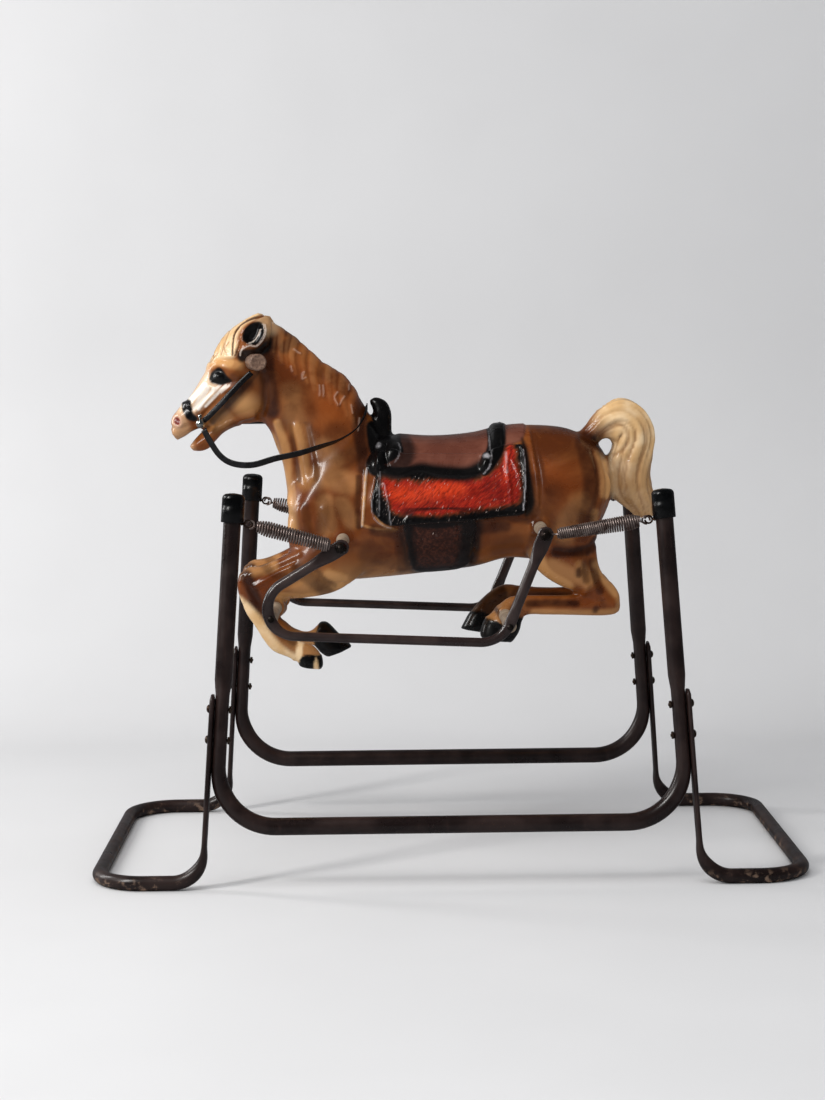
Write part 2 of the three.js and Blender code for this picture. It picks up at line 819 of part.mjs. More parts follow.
const RIGHT_HIND_FOOT = [
  [104, 446, 118, 409, 17],
  [74, 430, 102, 395, 17],
  [46, 406, 90, 380, 21],
  [31, 376, 76, 368, 21],
];

const TAIL = [
  [226, 716, 236, 690, 20],
  [250, 740, 262, 706, 22],
  [268, 762, 292, 716, 25],
  [306, 781, 308, 722, 27],
  [342, 766, 312, 712, 28],
  [364, 728, 300, 700, 29],
  [363, 692, 287, 670, 29],
  [357, 656, 286, 640, 28],
  [360, 636, 292, 614, 26],
  [364, 600, 312, 594, 22],
  [360, 574, 332, 575, 12],
];

/** A solid web closes the loop of the tail, down to a small round hole. */
const TAIL_WEB = [
  [252, 716, 258, 703, 13],
  [284, 722, 274, 711, 13],
  [310, 726, 285, 711, 13],
  [318, 708, 290, 704, 13],
  [310, 692, 289, 694, 13],
  [294, 668, 283, 681, 13],
  [284, 650, 270, 672, 13],
];

const EAR = [
  [-346, 872, -330, 862, 5, 8],
  [-340, 896, -312, 880, 11, 2],
  [-326, 912, -304, 902, 10, 0],
  [-312, 926, -304, 922, 4, -3],
];

const SADDLE_HORN = [
  [-106, 700, -78, 700, 30],
  [-108, 735, -84, 735, 18],
  [-112, 765, -92, 760, 13],
  [-124, 781, -98, 778, 13],
  [-130, 774, -120, 768, 6],
];

const CANTLE = [
  [76, 700, 106, 700, 70],
  [80, 728, 105, 728, 48],
  [86, 741, 100, 741, 30],
];

const LEG_Y = 62;

function horseShell() {
  const outer = [loft(TORSO), loft(NECK), loft(HEAD), loft(TAIL, 0, 0, 8)];
  outer.push(loft(TAIL_WEB, 0, 0, 6));
  outer.push(loft(SADDLE_HORN, 0, 0, 8), loft(CANTLE, 0, 0, 8));
  const hollow = [loft(TORSO, 0, SHELL, 8), loft(NECK, 0, SHELL, 8), loft(HEAD, 0, SHELL, 6)];
  hollow.push(loft(TAIL, 0, SHELL, 6));
  for (const [, side] of SIDE_NAMES) {
    // Towards the body, a leg's own shift moves it in from the plane of the legs.
    const inwards = (rings) =>
      rings.map(([x1, z1, x2, z2, width, shift = 0]) => [x1, z1, x2, z2, width, side * shift]);
    const foot = side < 0 ? LEFT_FRONT_FOOT : RIGHT_FRONT_FOOT;
    const hindFoot = side < 0 ? LEFT_HIND_FOOT : RIGHT_HIND_FOOT;
    outer.push(loft(inwards(FRONT_LEG), side * LEG_Y, 0, 8));
    outer.push(loft(inwards(foot), side * LEG_Y, 0, 8));
    outer.push(loft(inwards([...HIND_LEG, ...hindFoot]), side * LEG_Y, 0, 8));
    outer.push(loft(inwards(EAR), side * 38, 0, 6));
    hollow.push(loft(inwards(FRONT_LEG), side * LEG_Y, SHELL, 6));
    hollow.push(loft(inwards(HIND_LEG.slice(0, 9)), side * LEG_Y, SHELL, 6));
  }
  let shell = joined(...outer).subtract(joined(...hollow));
  // A boss carries each spacer, and the rods and handles have holes of their own.
  for (const [rodName, [x, z]] of Object.entries(RODS)) {
    for (const [, side] of SIDE_NAMES) {
      const depth = rodName.endsWith("upper") ? 16 : 50;
      const start = new THREE.Vector3(x, side * BOSS[rodName], z);
      shell = shell.add(toSolid(bar(15, depth, start, new THREE.Vector3(0, -side, 0), 8)));
    }
    const radius = (rodName.endsWith("upper") ? ROD : RIVET_ROD) / 2 + GAP;
    const start = new THREE.Vector3(x, -150, z);
    shell = shell.subtract(toSolid(bar(radius, 300, start, alongY, 10)));
  }
  for (const [, side] of SIDE_NAMES) {
    const { root, direction } = handleLine(side);
    const start = root.clone().addScaledVector(direction, -GAP);
    shell = shell.subtract(toSolid(bar(HANDLE / 2 + GAP, 70, start, direction, 12)));
  }
  return toGeometry(shell);
}

// ---------------------------------------------------------------- handles

/** A handle starts inside the head and points out and a little backwards. */
function handleLine(side) {
  const backwards = 0.16;
  return {
    root: new THREE.Vector3(-330, side * 14, 851),
    direction: new THREE.Vector3(Math.sin(backwards), side * Math.cos(backwards), 0),
  };
}

function handle(side) {
  const { root, direction } = handleLine(side);
  const radius = HANDLE / 2;
  const length = 118;
  const profile = [[0, 0], [radius, 0], [radius, length - 2], [radius - 2, length], [0, length]];
  return turned([...profile, profile[0]], root, direction, 12);
}

addMesh("horse_body", horseShell(), horsePlastic());

for (const [sideName, side] of SIDE_NAMES) {
  addMesh(`handle_${sideName}`, handle(side), handleWood());
}

// ---------------------------------------------------------------- bridle

/** A flat strap along a route; its section is `across` by `thick`. */
function strap(route, across, thick, steps) {
  const curve = new THREE.CatmullRomCurve3(route.map((point) => new THREE.Vector3(...point)));
  const up = new THREE.Vector3(0, 0, 1);
  const rings = [];
  for (let step = 0; step <= steps; step++) {
    const point = curve.getPointAt(step / steps);
    const tangent = curve.getTangentAt(step / steps);
    const face = new THREE.Vector3().crossVectors(tangent, up).normalize();
    const edge = new THREE.Vector3().crossVectors(face, tangent).normalize();
    rings.push(
      [[1, 1], [-1, 1], [-1, -1], [1, -1]].map(([a, b]) =>
        point
          .clone()
          .addScaledVector(face, (a * thick) / 2)
          .addScaledVector(edge, (b * across) / 2),
      ),
    );
  }
  return ringSolid(rings);
}

/** Middle of a bit button, on the side of the muzzle. */
const BIT = [-416, 43.9, 747];

const CHEEK_ROUTE = [
  [-414, 41, 749],
  [-408, 41.6, 754.5],
  [-401, 45.5, 760],
  [-372, 53.5, 789],
  [-347, 55.5, 815],
  [-327, 55, 833],
];

/** The rein hangs slack on the left, goes round the horn, and is pulled straight on the right. */
const REIN_ROUTE = [
  [-411, -46, 737],
  [-405, -50, 723],
  [-391, -56, 699],
  [-374, -62, 686],
  [-351, -68, 680],
  [-324, -74, 681],
  [-288, -84, 688],
  [-247, -94, 697],
  [-208, -97, 709],
  [-178, -94, 719],
  [-152, -78, 735],
  [-138, -54, 754],
  [-133, -26, 768],
  [-132, 0, 772],
  [-133, 26, 768],
  [-139, 56, 756],
  [-155, 78, 748],
  [-190, 88, 744],
  [-240, 84, 743],
  [-300, 70, 743],
  [-350, 60, 744],
  [-385, 53, 745],
  [-405, 48, 746],
];

for (const [sideName, side] of SIDE_NAMES) {
  const route = CHEEK_ROUTE.map(([x, y, z]) => [x, side * y, z]);
  addMesh(`cheek_strap_${sideName}`, strap(route, STRAP_WIDTH, STRAP, 6), blackVinyl());
  const button = turned(
    [[0, 0], [8, 0], [8, 2.5], [6, 6], [0, 7.5], [0, 0]],
    new THREE.Vector3(BIT[0], side * BIT[1], BIT[2]),
    new THREE.Vector3(0, side, 0),
    10,
  );
  addMesh(`bit_button_${sideName}`, button, brightMetal());
}
addMesh("rein", strap(REIN_ROUTE, STRAP_WIDTH, STRAP, 44), blackVinyl());

export default horse;
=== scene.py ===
"""The looks of the spring-hung rocking horse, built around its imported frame.

Lengths in this script are millimetres, in the frame's own axes: the horse faces -X, its
left side is -Y and +Z is up. mesh_of() turns them into Blender's metres.
"""
import math

import bmesh
import bpy
import numpy as np
from mathutils import Matrix, Vector


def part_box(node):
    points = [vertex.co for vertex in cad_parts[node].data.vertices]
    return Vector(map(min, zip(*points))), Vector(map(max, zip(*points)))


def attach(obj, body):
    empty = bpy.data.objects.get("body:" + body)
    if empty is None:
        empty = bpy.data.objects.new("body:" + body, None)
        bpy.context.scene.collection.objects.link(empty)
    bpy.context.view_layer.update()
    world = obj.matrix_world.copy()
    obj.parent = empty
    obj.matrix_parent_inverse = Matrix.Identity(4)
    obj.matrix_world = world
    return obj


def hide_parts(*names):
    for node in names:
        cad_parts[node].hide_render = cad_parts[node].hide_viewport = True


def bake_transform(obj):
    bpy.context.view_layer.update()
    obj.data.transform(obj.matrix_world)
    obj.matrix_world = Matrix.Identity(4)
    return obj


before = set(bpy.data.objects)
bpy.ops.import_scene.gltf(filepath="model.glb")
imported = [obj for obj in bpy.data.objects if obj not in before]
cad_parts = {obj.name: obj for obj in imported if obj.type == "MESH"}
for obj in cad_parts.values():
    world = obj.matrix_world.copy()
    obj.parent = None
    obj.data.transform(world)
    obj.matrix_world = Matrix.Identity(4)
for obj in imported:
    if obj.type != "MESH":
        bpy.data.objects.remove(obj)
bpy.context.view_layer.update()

MM = 0.001  # metres
LEFT, RIGHT = -1, 1
FRONT, REAR = -1, 1
SIDES = (("left", LEFT), ("right", RIGHT))
ENDS = (("front", FRONT), ("rear", REAR))
UP = Vector((0, 0, 1))

# The stand's own dimensions, as the frame has them.
MAIN_TUBE = 28.6
BASE_TUBE = 24.0
POST_SPLAY = 0.0693  # how far a post runs outwards along X for each millimetre down
FRAME_LEAN = 0.0645  # the same along Y
FRAME_BEND = 92.0
PINCH = 22.6  # thickness of a post where a base leg is bolted to it
LEG_THICKNESS, LEG_WIDTH = 8.8, 31.0


# ------------------------------------------------------------------ meshes


def centre(node):
    """The middle of a CAD node's box."""
    low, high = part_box(node)
    return (low + high) / 2 / MM


def size_of(node):
    low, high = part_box(node)
    return (high - low) / MM


def face_x(node, end):
    """Where a CAD node's box ends along X, towards one end of the object."""
    low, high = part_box(node)
    return (low.x if end == FRONT else high.x) / MM


def linked(name, data):
    """A new object in the scene."""
    made = bpy.data.objects.new(name, data)
    bpy.context.scene.collection.objects.link(made)
    return made


def mesh_of(name, shape):
    """A mesh from (points, faces) in millimetres."""
    points, faces = shape
    mesh = bpy.data.meshes.new(name)
    mesh.from_pydata([tuple(c * MM for c in point) for point in points], [], faces)
    return mesh


def shown(name, mesh, look):
    """A smooth object in one material."""
    mesh.materials.append(look)
    mesh.polygons.foreach_set("use_smooth", [True] * len(mesh.polygons))
    return linked(name, mesh)


def placed(piece, node, body):
    """Shows a piece in place of a CAD node. It rides on a body if one is given."""
    if body:
        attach(piece, body)
    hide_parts(node)
    return piece


def new_piece(node, suffix, shape, look, body):
    """A piece from (points, faces), named after the CAD node that it is shown for."""
    name = f"{node}_{suffix}"
    return placed(shown(name, mesh_of(name, shape), look), node, body)


def capped(rings):
    """Points and faces of a closed skin through rings of points."""
    sides = len(rings[0])
    points = [point for ring in rings for point in ring]
    faces = []
    for here in range(0, len(points) - sides, sides):
        after = here + sides
        for side in range(sides):
            turn = (side + 1) % sides
            faces.append((here + side, here + turn, after + turn, after + side))
    faces.append(tuple(reversed(range(sides))))
    faces.append(tuple(range(len(points) - sides, len(points))))
    return points, faces


def merged(*shapes):
    """Several (points, faces) shapes as one."""
    points, faces = [], []
    for more_points, more_faces in shapes:
        offset = len(points)
        points.extend(more_points)
        faces.extend(tuple(i + offset for i in face) for face in more_faces)
    return points, faces


def frame_of(axis):
    """Two unit vectors square to an axis, the first one as upright as it can be."""
    axis = Vector(axis).normalized()
    hint = UP if abs(axis.dot(UP)) <= 0.98 else Vector((1, 0, 0))
    first = (hint - axis * axis.dot(hint)).normalized()
    return first, axis.cross(first).normalized()


def spokes(first, second, sides):
    """Unit vectors round a circle, from the first one towards the second."""
    turns = [2 * math.pi * side / sides for side in range(sides)]
    return [first * math.cos(turn) + second * math.sin(turn) for turn in turns]


def lathe(profile, origin, axis, sides):
    """Points and faces of a turned piece. The profile runs in (radius, height) pairs."""
    round_it = spokes(*frame_of(axis), sides)
    axis = Vector(axis).normalized()
    rings = []
    for radius, height in profile:
        middle = Vector(origin) + axis * height
        rings.append([middle + spoke * max(radius, 0.01) for spoke in round_it])
    return capped(rings)


def arc(middle, radius, start, end, steps):
    """(radius, height) pairs round a rounded edge, in degrees from the radius axis."""
    pairs = []
    for step in range(steps + 1):
        angle = math.radians(start + (end - start) * step / steps)
        pairs.append((middle[0] + radius * math.cos(angle), middle[1] + radius * math.sin(angle)))
    return pairs


def bent_run(corners, step=5.0):
    """Stations (point, tangent) along straight lengths joined by rounded corners.

    Each corner is (point, bend radius), and the first and last have no bend. step is the
    turn between two stations in a bend, in degrees.
    """
    corners = [(Vector(point), radius) for point, radius in corners]
    stations = []
    for i, (corner, radius) in enumerate(corners):
        into = (corner - corners[i - 1][0]).normalized() if i else None
        out = (corners[i + 1][0] - corner).normalized() if i + 1 < len(corners) else None
        if not into or not out or not radius:
            stations.append((corner, into or out))
            continue
        turn = into.angle(out)
        start = corner - into * radius * math.tan(turn / 2)
        inward = (out - into * out.dot(into)).normalized()
        middle = start + inward * radius
        steps = max(2, round(math.degrees(turn) / step))
        for k in range(steps + 1):
            angle = turn * k / steps
            point = middle + into * radius * math.sin(angle) - inward * radius * math.cos(angle)
            stations.append((point, into * math.cos(angle) + inward * math.sin(angle)))
    return stations


def spaced(stations, longest=12.0):
    """The same run with more stations on its straight lengths."""
    filled = [stations[0]]
    for point, tangent in stations[1:]:
        before, before_tangent = filled[-1]
        gap = (point - before).length
        pieces = max(1, math.ceil(gap / longest))
        for k in range(1, pieces):
            part = k / pieces
            direction = before_tangent.lerp(tangent, part).normalized()
            filled.append((before.lerp(point, part), direction))
        filled.append((point, tangent))
    return filled


def pipe(stations, size, flat):
    """A tube along a run. size(point) gives its (thickness, width), and flat(point) the
    direction of the thickness."""
    sides = 28
    rings = []
    for point, tangent in stations:
        thin = flat(point)
        thin = (thin - tangent * thin.dot(tangent)).normalized()
        wide = tangent.cross(thin).normalized()
        thickness, width = size(point)
        # A flattened tube keeps flat faces, so its section squares up as it thins.
        square = 0.5 + 0.5 * min(1.0, thickness / max(width, 1e-6))
        ring = []
        for side in range(sides):
            angle = 2 * math.pi * side / sides
            c, s = math.cos(angle), math.sin(angle)
            ring.append(
                point
                + thin * (thickness / 2 * math.copysign(abs(c) ** square, c))
                + wide * (width / 2 * math.copysign(abs(s) ** square, s))
            )
        rings.append(ring)
    return capped(rings)


def smoothstep(low, high, value):
    """0 below low, 1 above high and a smooth rise between. It falls where high < low."""
    part = np.clip((np.asarray(value, float) - low) / (high - low), 0, 1)
    return part * part * (3 - 2 * part)


def mix(a, b, part):
    return a + (b - a) * part


def spline(points, per_span, closed=False):
    """A Catmull-Rom curve through points of any dimension."""
    points = np.asarray(points, float)
    count = len(points)
    spans = count if closed else count - 1
    curve = []
    for i in range(spans):
        if closed:
            p0, p1, p2, p3 = (points[(i + k) % count] for k in (-1, 0, 1, 2))
        else:
            p1, p2 = points[i], points[i + 1]
            p0 = points[i - 1] if i else 2 * p1 - p2
            p3 = points[i + 2] if i + 2 < count else 2 * p2 - p1
        for k in range(per_span):
            t = k / per_span
            slope = (p2 - p0) * t
            bend = (2 * p0 - 5 * p1 + 4 * p2 - p3) * t**2
            swing = (3 * p1 - p0 - 3 * p2 + p3) * t**3
            curve.append(0.5 * (2 * p1 + slope + bend + swing))
    if not closed:
        curve.append(points[-1])
    return np.array(curve)


# ------------------------------------------------------------------ materials


class Look:
    """A node material, written as a chain of small expressions."""

    def __init__(self, name):
        self.material = bpy.data.materials.new(name)
        self.material.use_nodes = True
        self.tree = self.material.node_tree
        self.shader = self.tree.nodes["Principled BSDF"]
        self.place = self.node("ShaderNodeTexCoord").outputs["Object"]

    def node(self, kind, inputs=None, **settings):
        made = self.tree.nodes.new(kind)
        for key, value in settings.items():
            setattr(made, key, value)
        for key, value in (inputs or {}).items():
            self.put(made.inputs[key], value)
        return made

    def put(self, socket, value):
        """Links a socket to another one, or sets its number or colour."""
        if isinstance(value, bpy.types.NodeSocket):
            self.tree.links.new(value, socket)
        elif isinstance(value, (tuple, list)) and len(value) == 3 and socket.type == "RGBA":
            socket.default_value = (*value, 1)
        else:
            socket.default_value = value

    def set(self, **values):
        """Inputs of the shader, with _ for a space."""
        for key, value in values.items():
            self.put(self.shader.inputs[key.replace("_", " ")], value)

    def noise(self, scale, detail, roughness=0.55, distortion=0.0, place=None):
        inputs = {"Vector": place or self.place, "Scale": scale, "Detail": detail}
        inputs.update({"Roughness": roughness, "Distortion": distortion})
        return self.node("ShaderNodeTexNoise", inputs).outputs["Fac"]

    def cells(self, scale):
        inputs = {"Vector": self.place, "Scale": scale}
        return self.node("ShaderNodeTexVoronoi", inputs, feature="F1").outputs["Distance"]

    def wave(self, scale, distortion, detail, direction):
        inputs = {"Vector": self.place, "Scale": scale, "Distortion": distortion}
        inputs["Detail"] = detail
        return self.node("ShaderNodeTexWave", inputs, bands_direction=direction).outputs["Fac"]

    def stretched(self, scale, turn=(0, 0, 0)):
        """The place in the object, turned and then stretched."""
        turned = self.node("ShaderNodeMapping", {"Vector": self.place, "Rotation": turn})
        inputs = {"Vector": turned.outputs["Vector"], "Scale": scale}
        return self.node("ShaderNodeMapping", inputs).outputs["Vector"]

    def mask(self, name, amount=1.0):
        """A painted mask of the mesh, or a share of it."""
        mask = self.node("ShaderNodeAttribute", attribute_name=name).outputs["Fac"]
        return mask if amount == 1.0 else self.times(mask, amount)

    def between(self, value, low, high, to_low=0.0, to_high=1.0):
        inputs = dict(enumerate((value, low, high, to_low, to_high)))
        made = self.node("ShaderNodeMapRange", inputs, interpolation_type="SMOOTHSTEP")
        return made.outputs["Result"]

    def math(self, operation, a, b):
        return self.node("ShaderNodeMath", {0: a, 1: b}, operation=operation).outputs[0]

    def times(self, a, b):
        return self.math("MULTIPLY", a, b)

    def blend(self, part, a, b):
        inputs = {"Factor": part, 6: a, 7: b}
        return self.node("ShaderNodeMix", inputs, data_type="RGBA").outputs[2]

    def raised(self, height, strength, distance, after=None):
        """A normal raised by a pattern, on top of another one if there is one."""
        inputs = {"Height": height, "Strength": strength, "Distance": distance}
        if after:
            inputs["Normal"] = after
        return self.node("ShaderNodeBump", inputs).outputs["Normal"]


def srgb(red, green, blue):
    """A screen colour, 0 to 255, as the linear colour that a shader takes."""
    linear = []
    for value in (red, green, blue):
        c = value / 255
        linear.append(c / 12.92 if c <= 0.04045 else ((c + 0.055) / 1.055) ** 2.4)
    return tuple(linear)


def frame_paint(name="frame_paint", coat=0.25, coat_roughness=0.2, lift=0):
    """Dark brown enamel on steel tube: brush-dulled, scratched, and spotted with rust near
    the floor. lift makes it paler."""
    look = Look(name)
    mottled = look.noise(18, 5)
    deep = srgb(26 + lift, 16 + lift, 15 + lift)
    dull = srgb(46 + lift, 31 + lift, 28 + lift)
    colour = look.blend(look.between(mottled, 0.35, 0.68), deep, dull)
    grain = look.noise(140, 3, place=look.stretched((1, 1, 0.12)))
    colour = look.blend(look.between(grain, 0.55, 0.78, 0, 0.3), colour, srgb(66, 46, 41))
    height = look.node("ShaderNodeSeparateXYZ", {0: look.place}).outputs["Z"]
    near_floor = look.between(height, 0.0, 0.03, 1, 0)
    rusty = look.times(look.between(look.noise(55, 6, 0.7), 0.53, 0.62), near_floor)
    colour = look.blend(look.times(rusty, 0.8), colour, srgb(150, 120, 98))
    chips = look.between(look.cells(210), 0.05, 0.085, 1, 0)
    rare = look.times(chips, look.between(look.noise(9, 2), 0.56, 0.66))
    colour = look.blend(look.times(rare, 0.8), colour, srgb(139, 98, 74))
    rough = look.between(mottled, 0.3, 0.7, 0.26, 0.44)
    rough = look.math("ADD", rough, look.times(rusty, 0.35))
    normal = look.raised(look.noise(260, 4), 0.14, 0.0006)
    normal = look.raised(look.noise(30, 3), 0.1, 0.002, normal)
    look.set(Base_Color=colour, Roughness=rough, Normal=normal, Specular_IOR_Level=0.5)
    look.set(Coat_Weight=coat, Coat_Roughness=coat_roughness)
    return look.material


def cap_plastic():
    """Black moulded caps, dulled with dust in patches."""
    look = Look("cap_plastic")
    dust = look.between(look.noise(45, 5, 0.6), 0.42, 0.72)
    colour = look.blend(dust, srgb(3, 4, 5), srgb(13, 14, 16))
    rough = look.between(look.noise(80, 4), 0.3, 0.7, 0.24, 0.38)
    normal = look.raised(look.noise(420, 3), 0.12, 0.0005)
    look.set(Base_Color=colour, Roughness=rough, Normal=normal, Specular_IOR_Level=0.5)
    return look.material


def dark_steel(name, clean, stained):
    """Plated steel that has gone dull and brown."""
    look = Look(name)
    stain = look.between(look.noise(70, 5, 0.65), 0.38, 0.66)
    colour = look.blend(stain, clean, stained)
    rough = look.between(look.noise(110, 4), 0.3, 0.7, 0.26, 0.5)
    normal = look.raised(look.noise(500, 3), 0.2, 0.0004)
    look.set(Base_Color=colour, Roughness=rough, Normal=normal, Metallic=0.85)
    return look.material


def spacer_plastic():
    """Grey-beige tube, matt, with specks and grime."""
    look = Look("spacer_plastic")
    grime = look.between(look.noise(60, 5, 0.6), 0.4, 0.7)
    colour = look.blend(grime, srgb(164, 146, 125), srgb(114, 94, 79))
    specks = look.between(look.cells(330), 0.08, 0.16, 1, 0)
    colour = look.blend(look.times(specks, 0.35), colour, srgb(84, 66, 54))
    normal = look.raised(look.noise(300, 4), 0.25, 0.0005)
    look.set(Base_Color=colour, Roughness=0.55, Normal=normal)
    return look.material


def handle_wood():
    """A turned peg: long grain on its side, rings on its end, greyed by hands."""
    look = Look("handle_wood")
    grain = look.noise(1, 6, 0.6, 0.4, look.stretched((240, 14, 240)))
    rings = look.wave(38, 3.5, 3, "Z")
    colour = look.blend(look.between(grain, 0.35, 0.7), srgb(134, 106, 88), srgb(86, 62, 49))
    colour = look.blend(look.between(rings, 0.35, 0.9, 0, 0.4), colour, srgb(86, 60, 48))
    look.set(Base_Color=colour, Roughness=0.5, Normal=look.raised(grain, 0.3, 0.0005))
    look.set(Coat_Weight=0.15, Coat_Roughness=0.3)
    return look.material


def strap_vinyl():
    """Black vinyl with a fine pressed grain, worn grey in patches."""
    look = Look("strap_vinyl")
    wear = look.between(look.noise(60, 4), 0.5, 0.75)
    colour = look.blend(wear, srgb(10, 10, 13), srgb(30, 30, 36))
    rough = look.between(look.noise(120, 3), 0.3, 0.7, 0.26, 0.42)
    normal = look.raised(look.cells(900), 0.25, 0.0003)
    look.set(Base_Color=colour, Roughness=rough, Normal=normal, Specular_IOR_Level=0.55)
    return look.material


def bright_metal():
    """Bright plating, cloudy and scratched."""
    look = Look("bright_metal")
    cloud = look.between(look.noise(160, 5), 0.4, 0.7)
    colour = look.blend(cloud, srgb(222, 228, 226), srgb(170, 178, 178))
    rough = look.between(look.noise(400, 3), 0.3, 0.7, 0.12, 0.3)
    normal = look.raised(look.noise(700, 3), 0.12, 0.0003)
    look.set(Base_Color=colour, Roughness=rough, Normal=normal, Metallic=1.0)
    return look.material


# ------------------------------------------------------------------ camera, floor, light

CAMERA_AT = (-95.23, -3894.17, 890.69)
CAMERA_LENS = 73.64
CAMERA_TURN = {"pitch": 5.411, "yaw": 0.574, "roll": -0.615}  # degrees


def add_camera():
    """A long lens, nearly level and nearly square to the object's left side."""
    data = bpy.data.cameras.new("camera")
    data.lens = CAMERA_LENS
    data.clip_end = 50
    pitch, yaw, roll = (math.radians(angle) for angle in CAMERA_TURN.values())
    forward = Vector(
        (math.sin(yaw) * math.cos(pitch), math.cos(yaw) * math.cos(pitch), -math.sin(pitch))
    )
    level = Vector((math.cos(yaw), -math.sin(yaw), 0))
    upward = level.cross(forward)
    right = level * math.cos(roll) + upward * math.sin(roll)
    up = upward * math.cos(roll) - level * math.sin(roll)
    camera = linked("camera", data)
    turn = Matrix((right, up, -forward)).transposed().to_4x4()
    camera.matrix_world = Matrix.Translation(Vector(CAMERA_AT) * MM) @ turn
    bpy.context.scene.camera = camera


def stage_look():
    """A pale studio surface that keeps shadows. Its back side is clear, so that the
    backdrop doesn't hide the object from behind."""
    look = Look("studio")
    uneven = look.between(look.noise(1.3, 3), 0.3, 0.7)
    colour = look.blend(uneven, srgb(222, 222, 223), srgb(226, 226, 227))
    mirrored = look.node("ShaderNodeLightPath").outputs["Is Glossy Ray"]
    colour = look.blend(mirrored, colour, srgb(104, 104, 106))
    look.set(Base_Color=colour, Roughness=0.5, Specular_IOR_Level=0.3)
    surface = look.tree.nodes["Material Output"].inputs["Surface"]
    back = look.node("ShaderNodeNewGeometry").outputs["Backfacing"]
    clear = look.node("ShaderNodeBsdfTransparent").outputs[0]
    one_sided = {0: back, 1: look.shader.outputs[0], 2: clear}
    look.put(surface, look.node("ShaderNodeMixShader", one_sided).outputs[0])
    return look.material


def add_stage():
    """A floor that sweeps up into a backdrop behind the object."""
    half, front, back, bend, top = 4500, -6500, 1900, 900, 4200
    line = [(front, 0), (back - bend, 0)]
    for step in range(1, 24):
        angle = math.pi / 2 * step / 24
        line.append((back - bend + bend * math.sin(angle), bend * (1 - math.cos(angle))))
    line.extend([(back, bend), (back, top)])
    points = [Vector((x, y, z)) for x in (-half, half) for y, z in line]
    count = len(line)
    faces = [(i, i + count, i + count + 1, i + 1) for i in range(count - 1)]
    shown("studio", mesh_of("studio", (points, faces)), stage_look())


def add_area(name, place, target, size, watts, colour, mirrored=True):
    """A flat lamp at a place in metres, turned to a target. Gloss shows it if mirrored."""
    data = bpy.data.lights.new(name, "AREA")
    data.shape = "RECTANGLE"
    data.size, data.size_y = size
    data.energy = watts
    data.color = colour
    lamp = linked(name, data)
    lamp.location = place
    lamp.visible_glossy = mirrored
    aim = Vector(target) - Vector(place)
    lamp.rotation_euler = aim.to_track_quat("-Z", "Y").to_euler()


def add_world():
    """Even light from everywhere. It is nearly black where it is mirrored, like a dark
    room, so that gloss stays deep."""
    world = bpy.data.worlds.new("studio")
    bpy.context.scene.world = world
    world.use_nodes = True
    tree = world.node_tree
    ground = tree.nodes["Background"]
    ground.inputs["Color"].default_value = (0.97, 0.98, 1, 1)
    path = tree.nodes.new("ShaderNodeLightPath")
    level = tree.nodes.new("ShaderNodeMapRange")
    level.inputs["To Min"].default_value = 0.47
    level.inputs["To Max"].default_value = 0.04
    tree.links.new(path.outputs["Is Glossy Ray"], level.inputs["Value"])
    tree.links.new(level.outputs["Result"], ground.inputs["Strength"])


def add_light():
    """A soft window on the left, fainter lights round it, and a lit ceiling."""
    add_world()
    add_area("window", (-2.7, -2.0, 2.5), (0, 0, 0.6), (0.55, 1.9), 68, (1, 0.985, 0.96))
    add_area("side", (-3.2, 0.9, 1.7), (0, 0.1, 0.5), (0.5, 1.9), 36, (1, 0.99, 0.98))
    add_area("fill", (3.0, -2.4, 1.5), (0, 0, 0.5), (1.2, 1.4), 4, (0.94, 0.97, 1), False)
    add_area("ceiling", (-0.7, -1.8, 3.5), (-0.6, -1.9, 0), (2.6, 2.2), 50, (1, 1, 1), False)
    bpy.context.scene.view_settings.view_transform = "Standard"


# ------------------------------------------------------------------ stand


def post_at(end, side, z):
    """A post's centre line at a height, down its two slopes from the middle of its cap."""
    end_name = "front" if end == FRONT else "rear"
    side_name = "left" if side == LEFT else "right"
    top = centre(f"post_cap_{end_name}_{side_name}")
    drop = top.z - z
    return Vector((top.x + end * POST_SPLAY * drop, top.y + side * FRAME_LEAN * drop, z))


def add_side_frame(name, side, paint):
    """One bent tube: two posts and the run between them on the floor."""
    node = f"side_frame_{name}"
    low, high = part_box(node)
    top_z = high.z / MM - 1
    bottom_z = low.z / MM + MAIN_TUBE / 2 * math.cos(math.pi / 8)
    bolts = [centre(f"leg_nut_{level}_front_{name}").z for level in ("lower", "upper")]
    corners = [
        (post_at(FRONT, side, top_z), 0),
        (post_at(FRONT, side, bottom_z), FRAME_BEND),
        (post_at(REAR, side, bottom_z), FRAME_BEND),
        (post_at(REAR, side, top_z), 0),
    ]

    def size(point):
        # The posts are pinched where the base legs are bolted on, and the tube bulges a
        # little between the bolts.
        pinch = smoothstep(150, 205, point.z) * (1 - smoothstep(318, 338, point.z))
        pressed = sum(math.exp(-(((point.z - bolt) / 16) ** 2)) for bolt in bolts)
        thick = mix(MAIN_TUBE, PINCH + 0.5 * (1 - pressed), pinch)
        return mix(MAIN_TUBE, MAIN_TUBE * 1.15, pinch), thick

    shape = pipe(spaced(bent_run(corners)), size, lambda point: Vector((0, side, 0)))
    new_piece(node, "tube", shape, paint, "stand")


